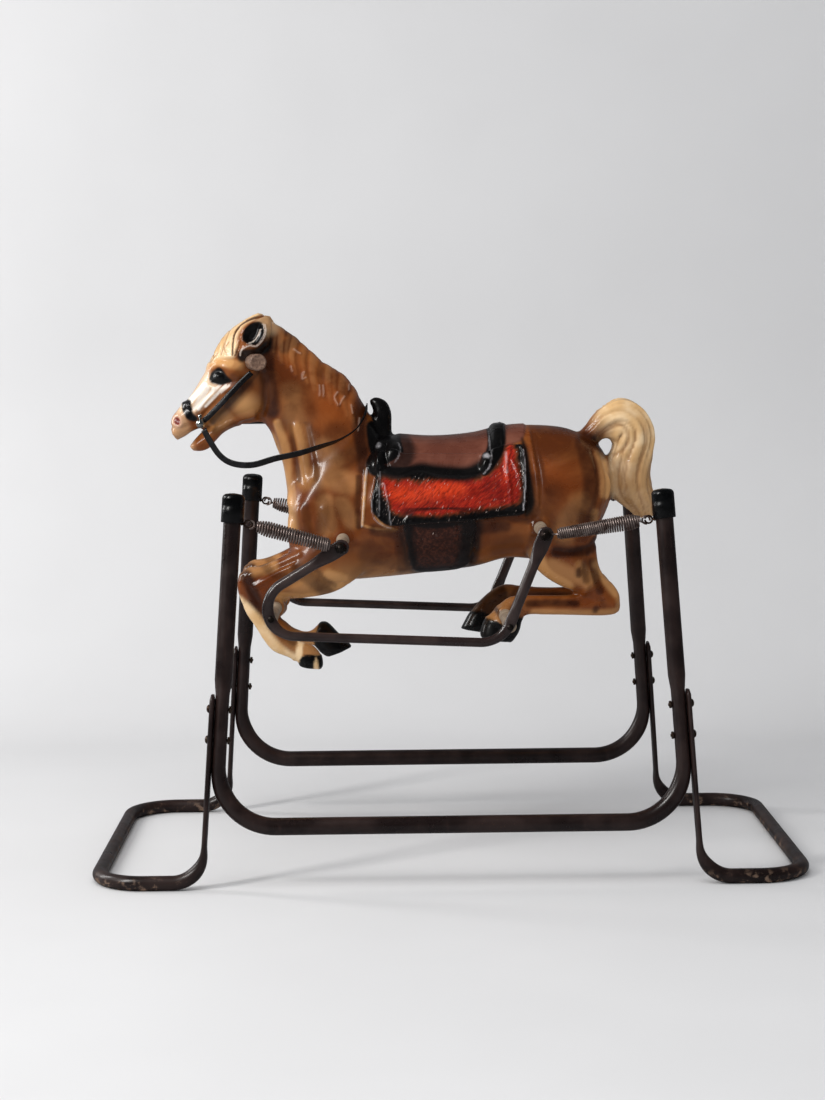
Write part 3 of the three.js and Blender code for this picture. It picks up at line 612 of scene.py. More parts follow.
def add_cap(end_name, end, side_name, side, plastic):
    """A plastic cap with a domed top, open at its foot."""
    node = f"post_cap_{end_name}_{side_name}"
    radius, bore = 18.5, 14.6
    height = size_of(node).z * 0.968
    axis = post_at(end, side, 1) - post_at(end, side, 0)
    foot = centre(node) - axis.normalized() * (height / 2 + 1.5)
    height += 6.5
    profile = [(0, 1.5), (bore, 1.5), (bore + 0.6, 0.6), (bore + 1, 0)]
    profile += [(radius - 0.8, 0), (radius, 0.8), (radius, height * 0.4)]
    profile += [(radius - 0.1, height - 9)] + arc((radius - 8, height - 9.2), 7.9, 0, 74, 9)
    profile += [(radius * 0.3, height - 0.4), (0, height)]
    new_piece(node, "cap", lathe(profile, foot, axis, 56), plastic, "stand")


def add_base_frame(name, end, paint):
    """One bent tube: a loop on the floor, and two legs flattened against the posts."""
    node = f"base_frame_{name}"
    _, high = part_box(node)
    radius = BASE_TUBE / 2
    cross_x = face_x(node, end) - end * radius * math.cos(math.pi / 8)
    run_y = high.y / MM - radius * math.cos(math.pi / 8)
    leg_top = high.z / MM - 0.6
    stand_off = (PINCH / 2 + LEG_THICKNESS / 2 + 0.3) * math.sqrt(1 + POST_SPLAY**2)
    foot_bend, leg_bend, corner_bend = 52, 400, 82

    def leg_at(side, z):
        return post_at(end, side, z) + Vector((end * stand_off, 0, 0))

    def half(side):
        foot = Vector((leg_at(side, radius).x, side * run_y, radius))
        corner = Vector((cross_x, side * run_y, radius))
        legs = [(leg_at(side, leg_top), 0), (leg_at(side, 120), leg_bend)]
        return legs + [(foot, foot_bend), (corner, corner_bend)]

    def flat(point):
        rise = float(smoothstep(radius, radius + foot_bend, point.z))
        return Vector((end, 0, 0)) * rise + UP * (1 - rise)

    def size(point):
        part = float(smoothstep(18, 74, point.z))
        # The very end is nipped shut.
        nip = 1 - 0.45 * float(smoothstep(leg_top - 7, leg_top, point.z))
        thick, wide = mix(BASE_TUBE, LEG_THICKNESS, part), mix(BASE_TUBE, LEG_WIDTH, part)
        return thick * nip, wide * (0.5 + 0.5 * nip)

    corners = half(LEFT) + half(RIGHT)[::-1]
    shape = pipe(spaced(bent_run(corners), 8), size, flat)
    new_piece(node, "tube", shape, paint, "stand")


def hexagon(origin, axis, across, height, bore):
    """A hexagonal nut with both faces chamfered, as rings of 24 points."""
    chamfer = 0.8
    first, second = frame_of(axis)
    axis = Vector(axis).normalized()
    corner = across / math.sqrt(3)
    profile = [(bore + 0.6, 0.3), (corner - chamfer, 0), (corner, chamfer * 0.8)]
    profile += [(corner, height - chamfer * 0.8), (corner - chamfer, height)]
    profile += [(bore + 0.6, height - 0.3)]
    rings = []
    for radius, up in profile:
        ring = []
        for side, spoke in enumerate(spokes(first, second, 24)):
            within = (2 * math.pi * side / 24 % (math.pi / 3)) - math.pi / 6
            flat = corner * math.cos(math.pi / 6) / math.cos(within)
            ring.append(Vector(origin) + axis * up + spoke * min(radius, flat))
        rings.append(ring)
    return capped(rings)


def thread(radius, start, axis, length, pitch=1.25, sides=20):
    """The threaded end of a bolt: a crest on its shank for every turn."""
    profile = []
    turns = int(length / pitch)
    for turn in range(turns):
        profile += [(radius - 0.45, turn * pitch), (radius, (turn + 0.5) * pitch)]
    profile += [(radius - 0.45, turns * pitch), (radius - 1.2, length), (0, length)]
    return lathe(profile, start, axis, sides)


def add_leg_bolt(end_name, end, side_name, level, steel):
    """A carriage bolt through a leg and its post, with its nut on the post's inner side."""
    place = f"{level}_{end_name}_{side_name}"
    nut = centre(f"leg_nut_{place}")
    axis = Vector((-end, 0, -POST_SPLAY)).normalized()
    head_height, nut_height, shank = 4.2, 4.0, 22
    outside = face_x(f"leg_bolt_{place}", end)
    head = nut + axis * ((outside - nut.x) / axis.x + head_height)
    dome = [(0, -1), (3.2, -0.4), (6.7, 0), (6.8, 0.5), (6.3, 1.7), (4.5, 3.2), (2.3, 4.0)]
    past_nut = (nut - head).length + nut_height / 2 + 1.5
    bolt = merged(
        lathe(dome + [(0, head_height)], head, -axis, 32),
        lathe([(0, 0), (3.1, 0), (3.1, shank + 2), (0, shank + 2)], head, axis, 20),
        thread(3.2, head + axis * shank, axis, past_nut - shank),
    )
    new_piece(f"leg_bolt_{place}", "bolt", bolt, steel, "stand")
    nut_shape = hexagon(nut - axis * nut_height / 2, axis, 10.7, nut_height, 3.0)
    new_piece(f"leg_nut_{place}", "nut", nut_shape, steel, "stand")


def add_stand(looks):
    for side_name, side in SIDES:
        add_side_frame(side_name, side, looks["frame"])
        for end_name, end in ENDS:
            add_cap(end_name, end, side_name, side, looks["cap"])
            for level in ("lower", "upper"):
                add_leg_bolt(end_name, end, side_name, level, looks["steel"])
    for end_name, end in ENDS:
        add_base_frame(end_name, end, looks["frame"])


# ------------------------------------------------------------------ suspension

SPRING_WIRE = 3.2
SPRING_OUTER = 27.0
HOOK_RADIUS = 6.2  # radius of the hook through the screw eye
ROD_LOOP = 6.9  # radius of the loop round the rod
TURN_STEPS = 22  # points on a turn of the coil
HOOK_STEPS, LOOP_STEPS = 15, 23
PITCH_SHARE = 0.62  # how far from its eye a rear spring's outer length ends


def open_ring(middle, axis, radius, wire, gap, start):
    """A ring of wire, open by a gap in degrees."""
    first, second = frame_of(axis)
    axis = Vector(axis).normalized()
    sides, steps = 12, 48
    reach = 2 * math.pi - math.radians(gap)
    rings = []
    for step in range(steps + 1):
        angle = math.radians(start) + reach * step / steps
        spoke = first * math.cos(angle) + second * math.sin(angle)
        ring = []
        for side in range(sides):
            turn = 2 * math.pi * side / sides
            out = spoke * (radius + wire * math.cos(turn))
            ring.append(Vector(middle) + out + axis * wire * math.sin(turn))
        rings.append(ring)
    return capped(rings)


def add_screw_eye(end_name, end, side_name, steel):
    """An eye of wire with a collar and a threaded shank that goes into the post."""
    node = f"screw_eye_{end_name}_{side_name}"
    wire = SPRING_WIRE / 2
    radius = size_of(node).z / 2 - wire
    middle = Vector((face_x(node, -end) + end * (radius + wire), *centre(node).yz))
    outward = Vector((end, 0, 0))
    shank = middle + outward * (radius - 0.5)
    collar = [(0, 0), (wire, 0), (wire, 3.4), (2.6, 4.4), (2.6, 5.4), (0, 5.6)]
    shape = merged(
        open_ring(middle, (0, 1, 0), radius, wire, 14, 100 if end == FRONT else -80),
        lathe(collar, shank, outward, 16),
        thread(wire, shank + outward * 5, outward, 11.5, 1.4, 14),
    )
    new_piece(node, "eye", shape, steel, "stand")
    return middle


def tube_of(line, radius):
    """A round skin along a line of points, which doesn't twist."""
    line = [Vector(point) for point in line]
    rings = []
    first = None
    for i, point in enumerate(line):
        ahead = line[min(i + 1, len(line) - 1)] - line[max(i - 1, 0)]
        tangent = ahead.normalized()
        if first is None:
            first, _ = frame_of(tangent)
        first = (first - tangent * first.dot(tangent)).normalized()
        second = tangent.cross(first)
        rings.append([point + spoke * radius for spoke in spokes(first, second, 10)])
    return capped(rings)


def coil_places(end, length):
    """How far along the spring each step of the coil is, and its number of turns.

    The turns touch near the rod. A slack front spring gapes a little nearly all along, and
    a rear one only near the post.
    """
    closed = 0.12 if end == FRONT else 0.62
    tight = SPRING_WIRE * 1.03
    loose = SPRING_WIRE * (1.34 if end == FRONT else 1.2)
    turns = round(length / mix(loose, tight, closed))
    steps = turns * TURN_STEPS
    places = [0.0]
    for step in range(steps):
        part = (step + 0.5) / steps
        open_end = float(smoothstep(0.0, 0.1, part))
        before_closed = float(1 - smoothstep(1 - closed - 0.1, 1 - closed + 0.05, part))
        places.append(places[-1] + mix(loose, tight, 1 - open_end * before_closed))
    scale = length / places[-1]
    return [place * scale for place in places], turns


def spring_line(eye, rod, side, end):
    """Centre line of a spring's wire: a loop through the screw eye, the coil, and a loop
    round the rod."""
    coil = SPRING_OUTER / 2 - SPRING_WIRE / 2
    coil_rod = rod + Vector((0, side * coil, 0))
    axis = (coil_rod - eye).normalized()
    first = (UP - axis * UP.dot(axis)).normalized()
    second = axis.cross(first)
    hook = eye + axis * 4.2
    line = []
    # The hook through the eye turns in the upright plane of the spring's axis.
    for step in range(HOOK_STEPS):
        angle = math.radians(200 - 290 * step / (HOOK_STEPS - 1))
        line.append(hook + (axis * math.cos(angle) + first * math.sin(angle)) * HOOK_RADIUS)
    coil_start, coil_end = 14.5, (coil_rod - eye).length - 18.0
    narrowed = 0.84 if end == FRONT else 0.7
    places, turns = coil_places(end, coil_end - coil_start)
    for step, place in enumerate(places):
        turn = step / TURN_STEPS
        taper = float(smoothstep(-2, 5, turn)) * float(1 - smoothstep(turns - 1.6, turns, turn))
        radius = mix(6.4, coil * mix(1, narrowed, turn / turns), taper)
        angle = 2 * math.pi * turn - math.pi / 2
        out = first * math.cos(angle) + second * math.sin(angle)
        line.append(eye + axis * (coil_start + place) + out * radius)
    # The last turn runs in to the loop round the rod.
    toward = (eye - rod).normalized()
    toward.y = 0
    toward.normalize()
    begin = math.atan2(toward.z, toward.x)
    for step in range(LOOP_STEPS):
        angle = begin + (2 * math.pi - 0.7) * step / (LOOP_STEPS - 1)
        line.append(rod + Vector((math.cos(angle), 0, math.sin(angle))) * ROD_LOOP)
    # Both ends run smoothly out of the coil.
    head, tail = HOOK_STEPS + 3, LOOP_STEPS + 3
    smooth = [Vector(point) for point in spline(line[:head], 3)[:-1]] + line[head - 1 : -tail]
    return smooth + [Vector(point) for point in spline(line[-tail:], 3)]


def add_spring(end_name, end, side_name, side, eye, look):
    """A spring from its eye in the stand to its rod.

    A front spring ends on the front rod. A rear one ends on the horse, and is made in two
    lengths, outer and inner, which meet PITCH_SHARE of the way from its eye to its rod.
    """
    node = f"spring_{end_name}_{side_name}"
    rod = centre(f"rod_{end_name}_upper")
    rod.y = side * (STIRRUP_Y + STIRRUP_PLATE / 2 + SPRING_WIRE / 2 + 0.6)
    line = spring_line(eye, rod, side, end)
    if end == FRONT:
        lengths = (("wire", line, ("stand", "front_rod"), (eye, rod)),)
    else:
        meet = eye.lerp(rod, PITCH_SHARE)
        axis, reach = (rod - eye).normalized(), (meet - eye).length
        cut = next(i for i, point in enumerate(line) if (point - eye).dot(axis) > reach)
        lengths = (
            ("wire_outer", line[: cut + 1], ("stand", "front_rod"), (eye, meet)),
            ("wire_inner", line[cut:], ("front_rod", "horse"), (meet, rod)),
        )
    for suffix, part, bodies, (start, finish) in lengths:
        shape = tube_of(part, SPRING_WIRE / 2)
        piece = new_piece(node, suffix, shape, look, None)
        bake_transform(piece)


def add_suspension(looks):
    for side_name, side in SIDES:
        for end_name, end in ENDS:
            eye = add_screw_eye(end_name, end, side_name, looks["steel"])
            add_spring(end_name, end, side_name, side, eye, looks["spring"])


# ------------------------------------------------------------------ stirrups, rods, spacers

STIRRUP_TUBE = 17.4
STIRRUP_Y = 240  # how far out its middle plane lies
STIRRUP_PLATE, STIRRUP_PLATE_WIDTH = 7, 26  # its flattened ends
STIRRUP_CORNERS = (
    ((-175, 550), 0),
    ((-296.2, 476.6), 45.8),
    ((-296.2, 406.6), 45.8),
    ((87, 389.5), 52),
    ((159, 567), 0),
)
UPPER_ROD = {"radius": 4.75, "half_length": 253.0}
LOWER_ROD = {"radius": 4.0, "half_length": 247.3}


def rod_line(name):
    """(x, z) of a cross rod."""
    middle = centre(f"rod_{name}")
    return middle.x, middle.z


def add_stirrup(side_name, paint):
    """A bent tube beside the horse, flattened at both ends, pressed where it is riveted
    and a little narrower along the foot."""
    node = f"stirrup_{side_name}"
    plane = centre(node).y
    corners = [(Vector((x, plane, z)), radius) for (x, z), radius in STIRRUP_CORNERS]
    for last, inner in ((0, 1), (-1, -2)):
        point, other = corners[last][0], corners[inner][0]
        corners[last] = (point + (point - other).normalized() * 13, 0)
    tips = (corners[0][0], corners[-1][0])
    bolted = [rod_line("front_upper"), rod_line("rear_upper")]
    riveted = [rod_line("front_lower"), rod_line("rear_lower")]

    def nearest(point, places):
        return min(math.hypot(point.x - x, point.z - z) for x, z in places)

    def size(point):
        full = float(smoothstep(16, 58, nearest(point, bolted)))
        pressed = 1 - float(smoothstep(10, 36, nearest(point, riveted)))
        foot_run = 1 - float(smoothstep(404, 430, point.z))
        rounded = math.sqrt(min(1.0, 0.12 + min((point - tip).length for tip in tips) / 9))
        thick = mix(STIRRUP_PLATE, STIRRUP_TUBE, full) * mix(1, 0.72, pressed)
        wide = mix(STIRRUP_PLATE_WIDTH, STIRRUP_TUBE, full) * mix(1, 0.88, foot_run)
        return thick, (wide + 2 * pressed) * rounded

    shape = pipe(spaced(bent_run(corners, 4), 5), size, lambda point: Vector((0, 1, 0)))
    new_piece(node, "bar", shape, paint, "horse")


def add_rod(end_name, level, looks):
    """A rod across the horse. The upper ones end in domed nuts, the lower in rivet heads."""
    name = f"{end_name}_{level}"
    x, z = rod_line(name)
    body = "front_rod" if name == "front_upper" else "horse"
    radius, half = (UPPER_ROD if level == "upper" else LOWER_ROD).values()
    profile = [(0, 0), (radius, 0), (radius, 2 * half), (0, 2 * half)]
    parts = [lathe(profile, (x, -half, z), (0, 1, 0), 32)]
    if level == "lower":
        head = [(0, -0.5), (5.3, -0.5), (5.6, 0.3), (5.2, 1.2), (3.9, 2.3), (2.1, 3.1), (0, 3.4)]
        parts += [lathe(head, (x, side * (half - 1), z), (0, side, 0), 32) for _, side in SIDES]
    steel = looks["rod"] if level == "upper" else looks["rivet"]
    new_piece(f"rod_{name}", "shaft", merged(*parts), steel, body)
    for side_name, side in SIDES:
        add_spacer(name, side_name, side, radius, looks["spacer"])
        if level == "upper":
            add_dome_nut(name, side_name, side, body, looks["rivet"])


def add_spacer(rod, side_name, side, bore, plastic):
    """A moulded tube with a wide bead at each end, pushed over the rod."""
    node = f"spacer_{rod}_{side_name}"
    middle, length = centre(node), size_of(node).y
    origin = middle - Vector((0, side * length / 2, 0))
    edge = 11.0
    profile = [(bore + 0.4, 0.5), (edge - 1, 0), (edge, 0.9), (edge, 5), (edge - 0.7, 6)]
    profile += [(edge - 0.7, length - 6), (edge, length - 5), (edge, length - 0.9)]
    profile += [(edge - 1, length), (bore + 0.4, length - 0.5)]
    shape = lathe(profile, origin, (0, side, 0), 40)
    new_piece(node, "tube", shape, plastic, "horse")


def add_dome_nut(rod, side_name, side, body, steel):
    """A pressed nut with a flange and a slightly flattened dome."""
    node = f"dome_nut_{rod}_{side_name}"
    middle, height = centre(node), size_of(node).y
    origin = middle - Vector((0, side * height / 2, 0))
    rim = 4.2
    profile = [(4.8, 0), (9.3, 0), (9.5, 0.4), (9.5, 1.6), (8.6, 2.6), (8.4, rim)]
    dome = [(radius, rim + (up - rim) * 0.94) for radius, up in arc((0, rim), 8.3, 0, 88, 9)]
    shape = lathe(profile + dome, origin, (0, side, 0), 40)
    new_piece(node, "dome", shape, steel, body)


# ------------------------------------------------------------------ handles and bridle

CHEEK_ROUTE = (
    (-414, 41, 749), (-408, 41.6, 754.5), (-401, 45.5, 760), (-372, 53.5, 789),
    (-347, 55.5, 815), (-327, 55, 833),
)
REIN_ROUTE = (
    (-411, -46, 737), (-403, -50, 722), (-387, -56, 697), (-370, -62, 683), (-348, -68, 677),
    (-322, -74, 678), (-288, -84, 688), (-247, -94, 697), (-208, -97, 709), (-178, -94, 719),
    (-152, -78, 735), (-138, -54, 754), (-133, -26, 768), (-132, 0, 772), (-133, 26, 768),
    (-139, 56, 756), (-155, 78, 748), (-190, 88, 744), (-240, 84, 743), (-300, 70, 743),
    (-350, 60, 744), (-385, 53, 745), (-405, 48, 746),
)
REIN_WIDTH = 11.6
# How far the slack side of the rein leans, in degrees, along X.
REIN_LEAN = (
    (-413, 0), (-391, 8), (-351, 18), (-324, 22), (-288, 26), (-247, 34), (-208, 52),
    (-178, 68), (-152, 60), (-138, 20), (-133, 0),
)


def add_handle(side_name, side, wood):
    """A turned peg that points out of the head and a little backwards."""
    backwards = 0.16
    axis = Vector((math.sin(backwards), side * math.cos(backwards), 0))
    root = Vector((-330, side * 14, 851))
    radius, length = 14.0, 118.0
    profile = [(0, 20), (radius - 0.3, 20), (radius - 0.3, 60), (radius, 90)]
    profile += arc((radius - 2.4, length - 2.4), 2.4, 0, 90, 5)
    profile += [(radius - 3.2, length - 0.3), (radius - 4.2, length - 0.9), (0, length - 1.1)]
    shape = lathe(profile, root, axis, 48)
    new_piece(f"handle_{side_name}", "peg", shape, wood, "horse")


def strap(route, across, steps, lean=None, crown=0.0):
    """A flat strap with rounded edges, and its centre line. Its width stands as upright as
    it can, but for its lean about its own length, in degrees."""
    curve = spline(route, 16)
    lengths = np.concatenate([[0], np.cumsum(np.linalg.norm(np.diff(curve, axis=0), axis=1))])
    line = [
        Vector([np.interp(place, lengths, curve[:, axis]) for axis in range(3)])
        for place in np.linspace(0, lengths[-1], steps + 1)
    ]
    half, deep, edge = across / 2, 1.9 / 2, 0.45
    section = [(-half, 0), (-half + edge, deep), (-half * 0.5, deep + crown * 0.75)]
    section += [(0, deep + crown), (half * 0.5, deep + crown * 0.75)]
    section += [(half - edge, deep), (half, 0), (half - edge, -deep), (half * 0.5, -deep)]
    section += [(0, -deep), (-half * 0.5, -deep), (-half + edge, -deep)]
    rings = []
    for i, point in enumerate(line):
        tangent = (line[min(i + 1, steps)] - line[max(i - 1, 0)]).normalized()
        face = tangent.cross(UP).normalized()
        up = face.cross(tangent).normalized()
        turn = Matrix.Rotation(math.radians(lean(point) if lean else 0), 3, tangent)
        rings.append([point + turn @ (up * a + face * b) for a, b in section])
    return capped(rings), line


def rein_lean(point):
    """The slack side turns edge on towards the horn, and the tight side lies edge on."""
    if point.y > 0:
        return -78 * float(smoothstep(20, 70, point.y))
    return float(np.interp(point.x, *zip(*REIN_LEAN)))


def add_rein(vinyl):
    """The rein hangs from the left bit stud, goes round the horn and back on the right."""
    shape, line = strap(REIN_ROUTE, REIN_WIDTH, 220, rein_lean)
    rein = new_piece("rein", "strap", shape, vinyl, "horse")


def add_bridle(looks):
    """Cheek straps and bit studs."""
    for side_name, side in SIDES:
        route = [(x, side * y, z) for x, y, z in CHEEK_ROUTE]
        shape, _ = strap(route, 10.0, 40, crown=-side)
        node = f"cheek_strap_{side_name}"
        new_piece(node, "strap", shape, looks["vinyl"], "horse")
        add_bit_button(side_name, side, looks["metal"])


def add_bit_button(side_name, side, metal):
    """A domed stud with a rolled rim, which holds the strap and the rein, and its keeper."""
    node = f"bit_button_{side_name}"
    low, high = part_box(node)
    middle = centre(node)
    base = (high.y if side == LEFT else low.y) / MM
    stud = [(0, 0), (7.4, 0), (7.9, 0.8), (7.8, 1.8), (7.1, 2.4), (6.8, 2.7)]
    stud += [(6.6, 3.6), (5.7, 5.2), (4.0, 6.5), (2.0, 7.2), (0, 7.4)]
    keeper = [(0, 0), (3.4, 0), (3.9, 1.2), (3.3, 2.8), (1.8, 3.8), (0, 4.1)]
    shape = merged(
        lathe(stud, (middle.x, base, middle.z), (0, side, 0), 40),
        lathe(keeper, (middle.x - 1, base, middle.z + 12.5), (0, side, 0), 24),
    )
    new_piece(node, "stud", shape, metal, "horse")


# ------------------------------------------------------------------ the horse's shape

# Every ring is (x1, z1, x2, z2, half width, shift towards the outside): two opposite
# points of its outline seen from the side, and how wide it is.
TORSO = (
    (-268, 600, -268, 535, 30), (-266, 640, -266, 508, 66), (-235, 690, -240, 486, 88),
    (-175, 718, -180, 473, 97), (-100, 722, -100, 477, 103), (-20, 717, -20, 485, 106),
    (50, 722, 50, 493, 104), (105, 735, 105, 507, 102), (160, 737, 150, 505, 104),
    (212, 731, 205, 500, 105), (250, 713, 250, 535, 92), (272, 696, 276, 580, 66),
    (287, 664, 289, 612, 30),
)
NECK = (
    (-250, 545, -95, 640, 84), (-266, 610, -104, 715, 82), (-276, 668, -140, 776, 64),
    (-289, 702, -169, 821, 53), (-300, 732, -209, 848, 47), (-315, 752, -254, 889, 43),
    (-322, 770, -294, 917, 42),
)
HEAD = (
    (-296, 909, -288, 792, 26), (-317, 928, -300, 768, 41), (-346, 917, -316, 748, 47),
    (-376, 893, -346, 741, 48), (-401, 850, -374, 741, 43), (-418, 822, -396, 742, 37),
    (-437, 793, -415, 740, 32), (-455, 775, -434, 733, 30), (-468, 755, -450, 723, 26),
    (-471, 738, -459, 718, 17), (-468, 728, -463, 719, 7),
)
JAW = (
    (-330, 785, -318, 746, 36), (-362, 764, -352, 742, 36), (-385, 752, -378, 731, 31),
    (-402, 741, -394, 716, 26), (-417, 732, -406, 703, 22), (-429, 720, -420, 698, 20),
    (-438, 709, -434, 699, 12),
)
FRONT_LEG = (
    (-150, 600, -130, 500, 30, -8), (-215, 590, -150, 482, 36, -2),
    (-262, 530, -190, 458, 36, 0), (-308, 505, -240, 448, 31, 0), (-342, 500, -285, 446, 29, 0),
    (-356, 472, -276, 440, 26, 0), (-346, 429, -284, 419, 21, 0), (-331, 404, -292, 401, 18, 0),
    (-309, 370, -278, 390, 16, 0),
)
LEFT_FRONT_FOOT = (
    (-320, 385, -288, 397, 17, 0), (-300, 358, -270, 384, 17, 0), (-276, 347, -250, 372, 16, 0),
    (-257, 338, -230, 366, 18, 0), (-254, 335, -216, 349, 20, 0), (-251, 330, -213, 326, 21, 0),
)
RIGHT_FRONT_FOOT = (
    (-320, 385, -288, 397, 17, 0), (-298, 361, -268, 381, 16, 0), (-262, 348, -240, 373, 16, 0),
    (-232, 349, -214, 391, 19, 0), (-221, 338, -189, 369, 21, 0), (-209, 329, -166, 346, 22, 0),
)
HIND_THIGH = (
    (160, 640, 250, 690, 32, -8), (136, 560, 284, 640, 40, -2), (142, 512, 268, 590, 40, 0),
    (164, 484, 258, 538, 36, 0), (194, 464, 264, 492, 29, 0), (226, 451, 286, 462, 23, 0),
    (240, 442, 299, 432, 21, 0), (232, 446, 284, 412, 19, 0), (190, 446, 196, 413, 15, 0),
)
LEFT_HIND_FOOT = (
    (190, 446, 196, 413, 15, 0), (140, 447, 141, 414, 14, 0), (108, 445, 131, 408, 17, 0),
    (84, 424, 127, 400, 18, 0), (66, 406, 124, 386, 22, 0), (57, 377, 112, 368, 23, 0),
)
RIGHT_HIND_FOOT = (
    (190, 446, 196, 413, 15, 0), (140, 450, 138, 415, 14, 0), (102, 453, 118, 410, 18, 0),
    (72, 434, 100, 396, 17, 0), (48, 408, 90, 382, 20, 0), (30, 376, 80, 370, 22, 0),
)
TAIL = (
    (226, 716, 236, 690, 20), (250, 740, 262, 702, 22), (268, 762, 274, 712, 25),
    (306, 781, 286, 711, 27), (342, 766, 291, 704, 28), (364, 728, 290, 694, 29),
    (364, 692, 283, 679, 29), (357, 656, 283, 642, 28), (358, 636, 288, 614, 26),
    (364, 600, 312, 594, 21), (361, 574, 334, 575, 11),
)
EAR = (
    (-354, 872, -326, 856, 8, 6), (-352, 892, -304, 874, 13, 3), (-345, 909, -296, 898, 14, 0),
    (-331, 924, -295, 915, 11, -4), (-314, 932, -300, 928, 5, -7),
)
SADDLE_HORN = (
    (-120, 684, -82, 684, 40), (-124, 702, -86, 702, 27), (-127, 717, -89, 716, 21),
    (-129, 731, -90, 729, 19), (-127, 745, -90, 743, 18), (-123, 757, -90, 758, 17),
    (-122, 765, -93, 770, 16), (-124, 772, -99, 780, 14), (-127, 778, -109, 786, 11),
    (-128, 782, -119, 788, 6),
)
CANTLE = ((76, 698, 106, 698, 72), (80, 722, 105, 722, 50), (86, 734, 101, 734, 30))
# Under each rod, how far out its bosses start and end.
BOSSES = {
    "front_upper": (80, 100),
    "rear_upper": (84, 106),
    "front_lower": (50, 92),
    "rear_lower": (50, 86),
}
LEG_Y, EAR_Y = 62, 38  # how far out the middle of a leg and of an ear lie
HEAD_FINE = (-288, 690)  # the head lies in front of the first and above the second
VOXEL = 3.8  # size of the skin's faces, before the fine ones are split


def loft(rings, y=0.0, side=RIGHT, fuller=0.0):
    """A closed skin through rings, wider in its lower half where it is fuller there."""
    sides = 40
    rings = [tuple(ring) + (0,) * (6 - len(ring)) for ring in rings]
    outline = []
    for x1, z1, x2, z2, width, shift in spline(rings, 5):
        middle = Vector(((x1 + x2) / 2, y + side * shift, (z1 + z2) / 2))
        half = Vector(((x1 - x2) / 2, 0, (z1 - z2) / 2))
        ring = []
        for step in range(sides):
            angle = 2 * math.pi * step / sides
            c, s = math.cos(angle), math.sin(angle)
            across = math.copysign(abs(s) ** 0.92, s) * width * (1 - fuller * c)
            ring.append(middle + half * math.copysign(abs(c) ** 0.96, c) + Vector((0, across, 0)))
        outline.append(ring)
    return capped(outline)


def boss(x, z, side, inner, outer):
    """A rounded boss on the horse, under the end of a spacer."""
    radius, height = 15, outer - inner
    profile = [(0, 0), (radius + 5, 0), (radius + 1, height * 0.6), (radius, height), (0, height)]
    return lathe(profile, (x, side * inner, z), (0, side, 0), 32)


def horse_lofts():
    """Every part of the moulding, each as a closed skin that runs into the others."""
    parts = [loft(TORSO, fuller=0.08), loft(NECK, fuller=-0.05), loft(HEAD), loft(JAW)]
    parts += [loft(TAIL), loft(SADDLE_HORN), loft(CANTLE)]
    for side, front_foot, hind_foot in (
        (LEFT, LEFT_FRONT_FOOT, LEFT_HIND_FOOT),
        (RIGHT, RIGHT_FRONT_FOOT, RIGHT_HIND_FOOT),
    ):
        for rings in (FRONT_LEG, front_foot, HIND_THIGH, hind_foot):
            parts.append(loft(rings, side * LEG_Y, side))
        parts.append(loft(EAR, side * EAR_Y, side))
        for rod, (inner, outer) in BOSSES.items():
            parts.append(boss(*rod_line(rod), side, inner, outer))
    return parts


def voxel_skin(parts):
    """One closed skin round several overlapping ones."""
    rough = linked("rough horse", mesh_of("rough horse", merged(*parts)))
    remesh = rough.modifiers.new("skin", "REMESH")
    remesh.mode = "VOXEL"
    remesh.voxel_size = VOXEL * MM
    bpy.context.view_layer.update()
    wrapped = rough.evaluated_get(bpy.context.evaluated_depsgraph_get())
    skin = bpy.data.meshes.new_from_object(wrapped)
    bpy.data.objects.remove(rough)
    return skin


def shells_of(build):
    """The connected skins of a mesh, as sets of points."""
    unseen = set(build.verts)
    shells = []
    while unseen:
        shell, front = set(), [unseen.pop()]
        while front:
            here = front.pop()
            shell.add(here)
            for edge in here.link_edges:
                other = edge.other_vert(here)
                if other in unseen:
                    unseen.discard(other)
                    front.append(other)
        shells.append(shell)
    return shells


def is_fine(place):
    """Whether the head, the mane or the saddle is here, which need more detail."""
    x, _, z = place
    head = x < HEAD_FINE[0] and z > HEAD_FINE[1]
    mane = x < -130 and z > 708 - 0.975 * (x + 146)
    saddle = -150 < x < 165 and 566 < z < 800
    return head or mane or saddle


def outer_shell(mesh):
    """Leaves only the largest connected skin, and splits its faces where detail is fine."""
    build = bmesh.new()
    build.from_mesh(mesh)
    shells = shells_of(build)
    largest = max(shells, key=len)
    for shell in shells:
        if shell is not largest:
            bmesh.ops.delete(build, geom=list(shell), context="VERTS")
    fine = set()
    for face in build.faces:
        if is_fine(face.calc_center_median() / MM):
            fine.update(face.edges)
    bmesh.ops.subdivide_edges(build, edges=list(fine), cuts=1, use_grid_fill=True)
    build.to_mesh(mesh)
    build.free()


